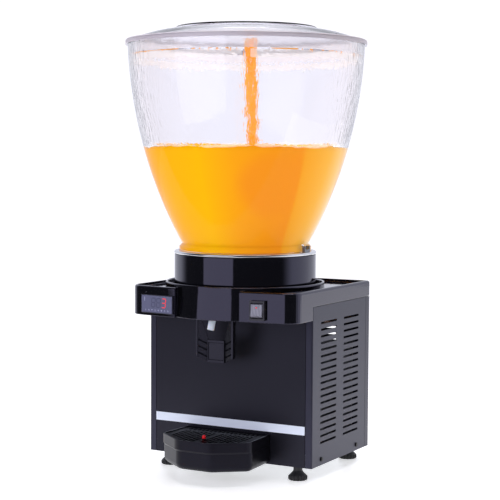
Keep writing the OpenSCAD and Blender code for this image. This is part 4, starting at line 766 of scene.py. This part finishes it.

# Juice: opaque orange drink that fills the bowl round the drum to a little over half its height.
# Its skin follows the inside of the wall closely and is ruffled where it meets the wall at the top.

# Cloudy orange juice with painted light: a faint painted glow stands in for light that soaks in, and its
# colour is painted by bearing from the viewer's side, lighter to both sides and deepest in front of the drum.
# It has no mirror image of its own behind the wall
juice = finish("orange_juice", "#fba81a", 0.4, Specular_IOR_Level=0.0, Emission_Strength=0.2)
tree = juice.node_tree
place = add(tree, "ShaderNodeTexCoord").outputs["Object"]
to_right = (math.cos(camera_turn), math.sin(camera_turn), 0)
to_viewer = (math.sin(camera_turn), -math.cos(camera_turn), 0)
across = add(tree, "ShaderNodeVectorMath", {0: place, 1: to_right}, operation="DOT_PRODUCT")
ahead = add(tree, "ShaderNodeVectorMath", {0: place, 1: to_viewer}, operation="DOT_PRODUCT")
bearing = add(
    tree,
    "ShaderNodeMath",
    {0: across.outputs["Value"], 1: ahead.outputs["Value"]},
    operation="ARCTAN2",
).outputs[0]
turn_share = add(tree, "ShaderNodeMapRange", {"Value": bearing, "From Min": -math.pi, "From Max": math.pi})
ramp = add(tree, "ShaderNodeValToRGB", {"Fac": turn_share.outputs[0]})
rear_orange = "#f6a92c"
# Degrees round the bowl from the viewer's side, to the right, and the juice's painted lit colour there
painted_hues_round = [
    (-90, rear_orange),
    (-61, "#fab318"),
    (-27, "#fdbd0f"),
    (-5, "#fba81a"),
    (14, "#fa9f1c"),
    (33, "#f99a20"),
    (35, "#fbab2a"),
    (55, "#fdbc46"),
    (64, "#ffc869"),
    (80, "#fed595"),
    (120, rear_orange),
]
for end in ramp.color_ramp.elements:
    end.color = linear(rear_orange)
for degrees, code in painted_hues_round:
    stop = ramp.color_ramp.elements.new((degrees / 180 + 1) / 2)
    stop.color = linear(code)
height = add(tree, "ShaderNodeSeparateXYZ", {"Vector": place}).outputs["Z"]


def off_by(source, centre, reach):
    """How far a value lies from a centre, in shares of a reach, squared."""
    away = add(tree, "ShaderNodeMath", {0: source, 1: centre}, operation="SUBTRACT").outputs[0]
    part = add(tree, "ShaderNodeMath", {0: away, 1: reach}, operation="DIVIDE").outputs[0]
    return add(tree, "ShaderNodeMath", {0: part, 1: part}, operation="MULTIPLY").outputs[0]


# Painted shade: a darker patch in front of the drum, set by bearing and height, which ends at the band's
# bearing on the right
patch_bearing = math.radians(17)
patch_half_wide = math.radians(25)
patch_z = 0.450
patch_half_tall = 0.056
band_bearing = math.radians(34)
round_off = off_by(bearing, patch_bearing, patch_half_wide)
tall_off = off_by(height, patch_z, patch_half_tall)
painted_shade_patch = add(tree, "ShaderNodeMath", {0: round_off, 1: tall_off}, operation="ADD").outputs[0]
shade = add(
    tree,
    "ShaderNodeMapRange",
    {"Value": painted_shade_patch, "From Min": 0.25, "From Max": 1.1, "To Min": 1.0, "To Max": 0.0},
    interpolation_type="SMOOTHSTEP",
).outputs[0]
left_of_band = add(tree, "ShaderNodeMath", {0: bearing, 1: band_bearing}, operation="LESS_THAN")
shaded = add(tree, "ShaderNodeMath", {0: shade, 1: left_of_band.outputs[0]}, operation="MULTIPLY").outputs[0]
juice_painted_hue = add(
    tree,
    "ShaderNodeMix",
    {"Factor": shaded, "A": ramp.outputs["Color"], "B": linear("#f89922")},
    data_type="RGBA",
).outputs["Result"]
shader = tree.nodes["Principled BSDF"]
tree.links.new(juice_painted_hue, shader.inputs["Base Color"])
tree.links.new(juice_painted_hue, shader.inputs["Emission Color"])
skin_gap = 0.0010
floor_z = bowl_low + 0.0004
neck_in_r = 0.0975
gasket_r = 0.067
gasket_z = bowl_low + 0.003
drum_r = 0.0615
drum_z = 0.442
cover_r = 0.031
cover_z = 0.458
nozzle_r = 0.0105
nozzle_foot_z = 0.461
nozzle_z = 0.4969
middle_r = 0.0003
heights = [neck_z + (juice_level - neck_z) * i / 30 for i in range(31)]
profile = [(gasket_r, floor_z, 0), (neck_in_r, floor_z, 0), (neck_in_r, bowl_low + 0.0095, 0)]
profile += [(bowl_r(z) - skin_gap, z, 0) for z in heights]
profile += [(bowl_r(juice_level) - 0.004, juice_level - 0.0004, 0), (0.05, juice_level, 0)]
profile += [(middle_r, juice_level + 0.0004, 0), (middle_r, nozzle_z, 0), (nozzle_r, nozzle_z, 0)]
profile += [(nozzle_r, nozzle_foot_z, 0), (cover_r, cover_z, 0), (cover_r, drum_z, 0), (drum_r, drum_z, 0)]
profile += [(drum_r, gasket_z, 0), (gasket_r, gasket_z, 0)]
drink = revolve("juice", profile, "bowl", [juice])


def wave(a, seed):
    """A rough line round the bowl, between -1 and 1, from a few sines."""
    total = 0
    for i, n in enumerate((7, 13, 22, 37, 51)):
        total += math.sin(n * a + seed * (i + 1) * 1.7) / (1 + 0.35 * i)
    return total / 2.6


ruffle = 0.0026
for v in drink.data.vertices:
    if v.co.z > juice_level - 0.0015:
        a = math.atan2(v.co.y, v.co.x)
        out_share = math.hypot(v.co.x, v.co.y) / bowl_r(juice_level)
        v.co.z += ruffle * wave(a, 1) * out_share

# Fountain jet: juice that the pump throws up through the nozzle, a rough column that parts into strands
# under the lid. A few spurts leave its side and fall back.
jet_foot = Vector((0.0105, 0.0057, juice_level - 0.0006))
jet_head = Vector((0.0049, 0.0027, 0.670))
column_r = 0.0076
column_flare = 0.0020
strands = 9
strand_r = 0.0029
strand_out = 0.0064
spurt_r = 0.0017
spurt_out = 0.0072
rng = random.Random(7)
verts = []
faces = []


def tube(verts, faces, skin_at, steps, sides):
    """Adds a tube closed at both ends; skin_at gives its point at a share of its length and an angle."""
    first = len(verts)
    for i in range(steps + 1):
        verts += [skin_at(i / steps, 2 * math.pi * k / sides) for k in range(sides)]
    for i in range(steps):
        low = first + i * sides
        for k in range(sides):
            n = (k + 1) % sides
            faces.append((low + k, low + n, low + sides + n, low + sides + k))
    faces.append(tuple(first + k for k in range(sides - 1, -1, -1)))
    faces.append(tuple(first + steps * sides + k for k in range(sides)))


def column_skin(t, a):
    """The main column: five broad flutes, finer ones between them, and swells along its length."""
    c = jet_foot.lerp(jet_head, 0.84 * t)
    r = column_r + column_flare * t
    r *= 1 + 0.10 * math.sin(5 * a + 5 * t) + 0.06 * math.sin(11 * a - 8 * t + 2)
    r *= 1 + 0.07 * math.sin(31 * t + 2 * a) + 0.05 * math.sin(67 * t - 3 * a + 1)
    r *= 1 - 0.75 * max(0, t - 0.72) / 0.28
    return (c.x + r * math.cos(a), c.y + r * math.sin(a), c.z)


tube(verts, faces, column_skin, 150, 44)
for strand in range(strands):
    phase = strand * 2 * math.pi / strands + rng.uniform(-0.25, 0.25)
    bumps = [rng.uniform(0, 6.28) for _ in range(4)]
    gain = rng.uniform(0.9, 1.1)

    def strand_skin(t, a):
        """One strand: a knotted thread that winds up the column's upper half."""
        c = jet_foot.lerp(jet_head, 0.52 + 0.48 * t)
        out = (strand_out + 0.0018 * t) * gain
        bend = phase + 0.7 * t + 0.25 * math.sin(5 * t + bumps[0])
        knot = 0.5 * math.sin(9 * t + bumps[2]) + 0.35 * math.sin(23 * t + bumps[3])
        r = (strand_r - 0.0008 * t) * (1 + 0.55 * knot) * min(1, 0.3 + 4 * t)
        x = c.x + out * math.cos(bend) + r * math.cos(a)
        y = c.y + out * math.sin(bend) + r * math.sin(a)
        return (x, y, c.z)

    tube(verts, faces, strand_skin, 60, 10)
# Each spurt's place on the jet, its bearing, how far it reaches and how much it falls
spurts = [
    (0.60, 3.7, 0.009, -0.014),
    (0.36, 0.4, 0.005, 0.006),
    (0.20, 0.5, 0.006, 0.004),
    (0.62, 0.6, 0.005, -0.004),
    (0.28, 3.6, 0.005, 0.006),
    (0.05, 0.55, 0.012, -0.004),
]
for along, spurt_turn, spurt_reach, fall in spurts:
    root = jet_foot.lerp(jet_head, along)

    def spurt_skin(t, a):
        """One spurt: a short thread that thins towards its tip."""
        out = spurt_out + spurt_reach * t
        r = spurt_r * (1 - 0.75 * t)
        x = root.x + out * math.cos(spurt_turn) + r * math.cos(a)
        y = root.y + out * math.sin(spurt_turn) + r * math.sin(a)
        return (x, y, root.z + 0.008 * t + fall * t * t)

    tube(verts, faces, spurt_skin, 8, 8)
# Juice in thin streams: the same orange, wet, with a painted glow for the light that shines through it
jet_juice_painted_glow = finish(
    "splashing_juice",
    "#fba81a",
    0.2,
    Emission_Color=linear("#fbaa10"),
    Emission_Strength=0.3,
)
piece("juice_jet", verts, faces, "bowl", jet_juice_painted_glow, smooth=True)

# Wet film: juice splashed on the wall and the lid's skirt runs back as a thin coat with a scalloped edge.
# A line of foam clings to the wall just above the drink.

# Juice thinned to a film: a milky veil with a painted glow for the white light behind it
film_painted_glow = finish(
    "pale_juice_film",
    "#fffaf0",
    0.35,
    Alpha=0.4,
    Emission_Strength=0.5,
    Emission_Color=linear("#fdf6ee"),
)
wall_film_gap = 0.0004
skirt_film_gap = 0.0003
foam_gap = 0.0003
front_gap = 0.035


def veil(name, body, rows_at, count, gap=0):
    """A thin strip round the axis from (radius, height) rows at each angle, open at the front by a gap."""
    verts = []
    faces = []
    for i in range(count):
        a = 2 * math.pi * i / count
        rows = rows_at(a)
        each = len(rows)
        n = (i + 1) % count
        verts += [(r * math.cos(a), r * math.sin(a), z) for r, z in rows]
        if abs(math.remainder(a - facing, 2 * math.pi)) >= gap:
            here = i * each
            beyond = n * each
            faces += [(here + k, here + k + 1, beyond + k + 1, beyond + k) for k in range(each - 1)]
    piece(name, verts, faces, body, film_painted_glow, smooth=True)


def wall_rows(a):
    """The film on the bowl's wall, under the lid's skirt: a band with a scalloped lower edge."""
    scallop = abs(math.sin(17 * a + 1.5 * math.sin(3 * a))) ** 0.6
    depth = 0.0085 + 0.0035 * scallop + 0.0028 * wave(a, 4)
    levels = [skirt_low - 0.0022 - depth * share for share in (0, 0.5, 1)]
    return [(bowl_r(z) - wall - wall_film_gap, z) for z in levels]


def skirt_rows(a):
    """The film inside the lid's skirt: even all round."""
    return [(skirt_r - lid_wall - skirt_film_gap, z) for z in (skirt_low + 0.0002, brim_low)]


def foam_rows(a):
    """The foam on the wall: a low uneven crest over the drink."""
    tall = 0.0036 + 0.0022 * wave(a, 9) + 0.0008 * math.sin(83 * a)
    levels = [juice_level + tall, juice_level + 0.4 * tall, juice_level - 0.0012]
    return [(bowl_r(z) - wall - foam_gap, z) for z in levels]


veil("juice_film", "bowl", wall_rows, 540, front_gap)
veil("skirt_film", "lid", skirt_rows, 160)
veil("juice_foam", "bowl", foam_rows, 420)

# Dribbles: thin broken beads of juice along the lower edge of the lid's skirt, with drips that hang from
# it. They cling to the clear plastic and stay on the lid when it is lifted.
edge_r = skirt_r - lid_wall / 2
edge_z = skirt_low - 0.0004
# Degrees from the viewer's side at which a bead starts, and how far it runs
beads = [(-77, 44), (-26, 2), (-17.5, 2), (-9.5, 1.5), (11.6, 13.5), (31, 1.5), (38, 1.5), (44, 2)]
verts = []
faces = []
for start_degrees, long_degrees in beads:
    start = facing + math.radians(start_degrees)
    length = math.radians(long_degrees)
    fat = rng.uniform(0.0008, 0.0012)

    def bead_skin(t, b):
        """One bead: it swells and thins along the edge and closes at both ends."""
        a = start + length * t
        r = fat * (0.35 + 0.65 * abs(math.sin(5 * a + start * 9))) * (1 if 0 < t < 1 else 0.3)
        out = edge_r + r * math.cos(b)
        return (out * math.cos(a), out * math.sin(a), edge_z - fat * 0.6 + r * math.sin(b))

    tube(verts, faces, bead_skin, max(4, int(length / 0.012)), 6)
drips = 30
for _ in range(drips):
    at = facing + rng.uniform(-1.4, 1.4)
    hang = rng.uniform(0.002, 0.0065)
    fat = rng.uniform(0.0005, 0.0011)

    def drip_skin(t, a):
        """One drip: a hanging drop, fattest near its middle."""
        r = fat * (0.35 + 0.75 * math.sin(math.pi * min(1, 0.15 + 0.8 * t)))
        x = edge_r * math.cos(at) + r * math.cos(a)
        y = edge_r * math.sin(at) + r * math.sin(a)
        return (x, y, edge_z - hang * t)

    tube(verts, faces, drip_skin, 6, 8)
piece("lid_dribbles", verts, faces, "lid", jet_juice_painted_glow, smooth=True)
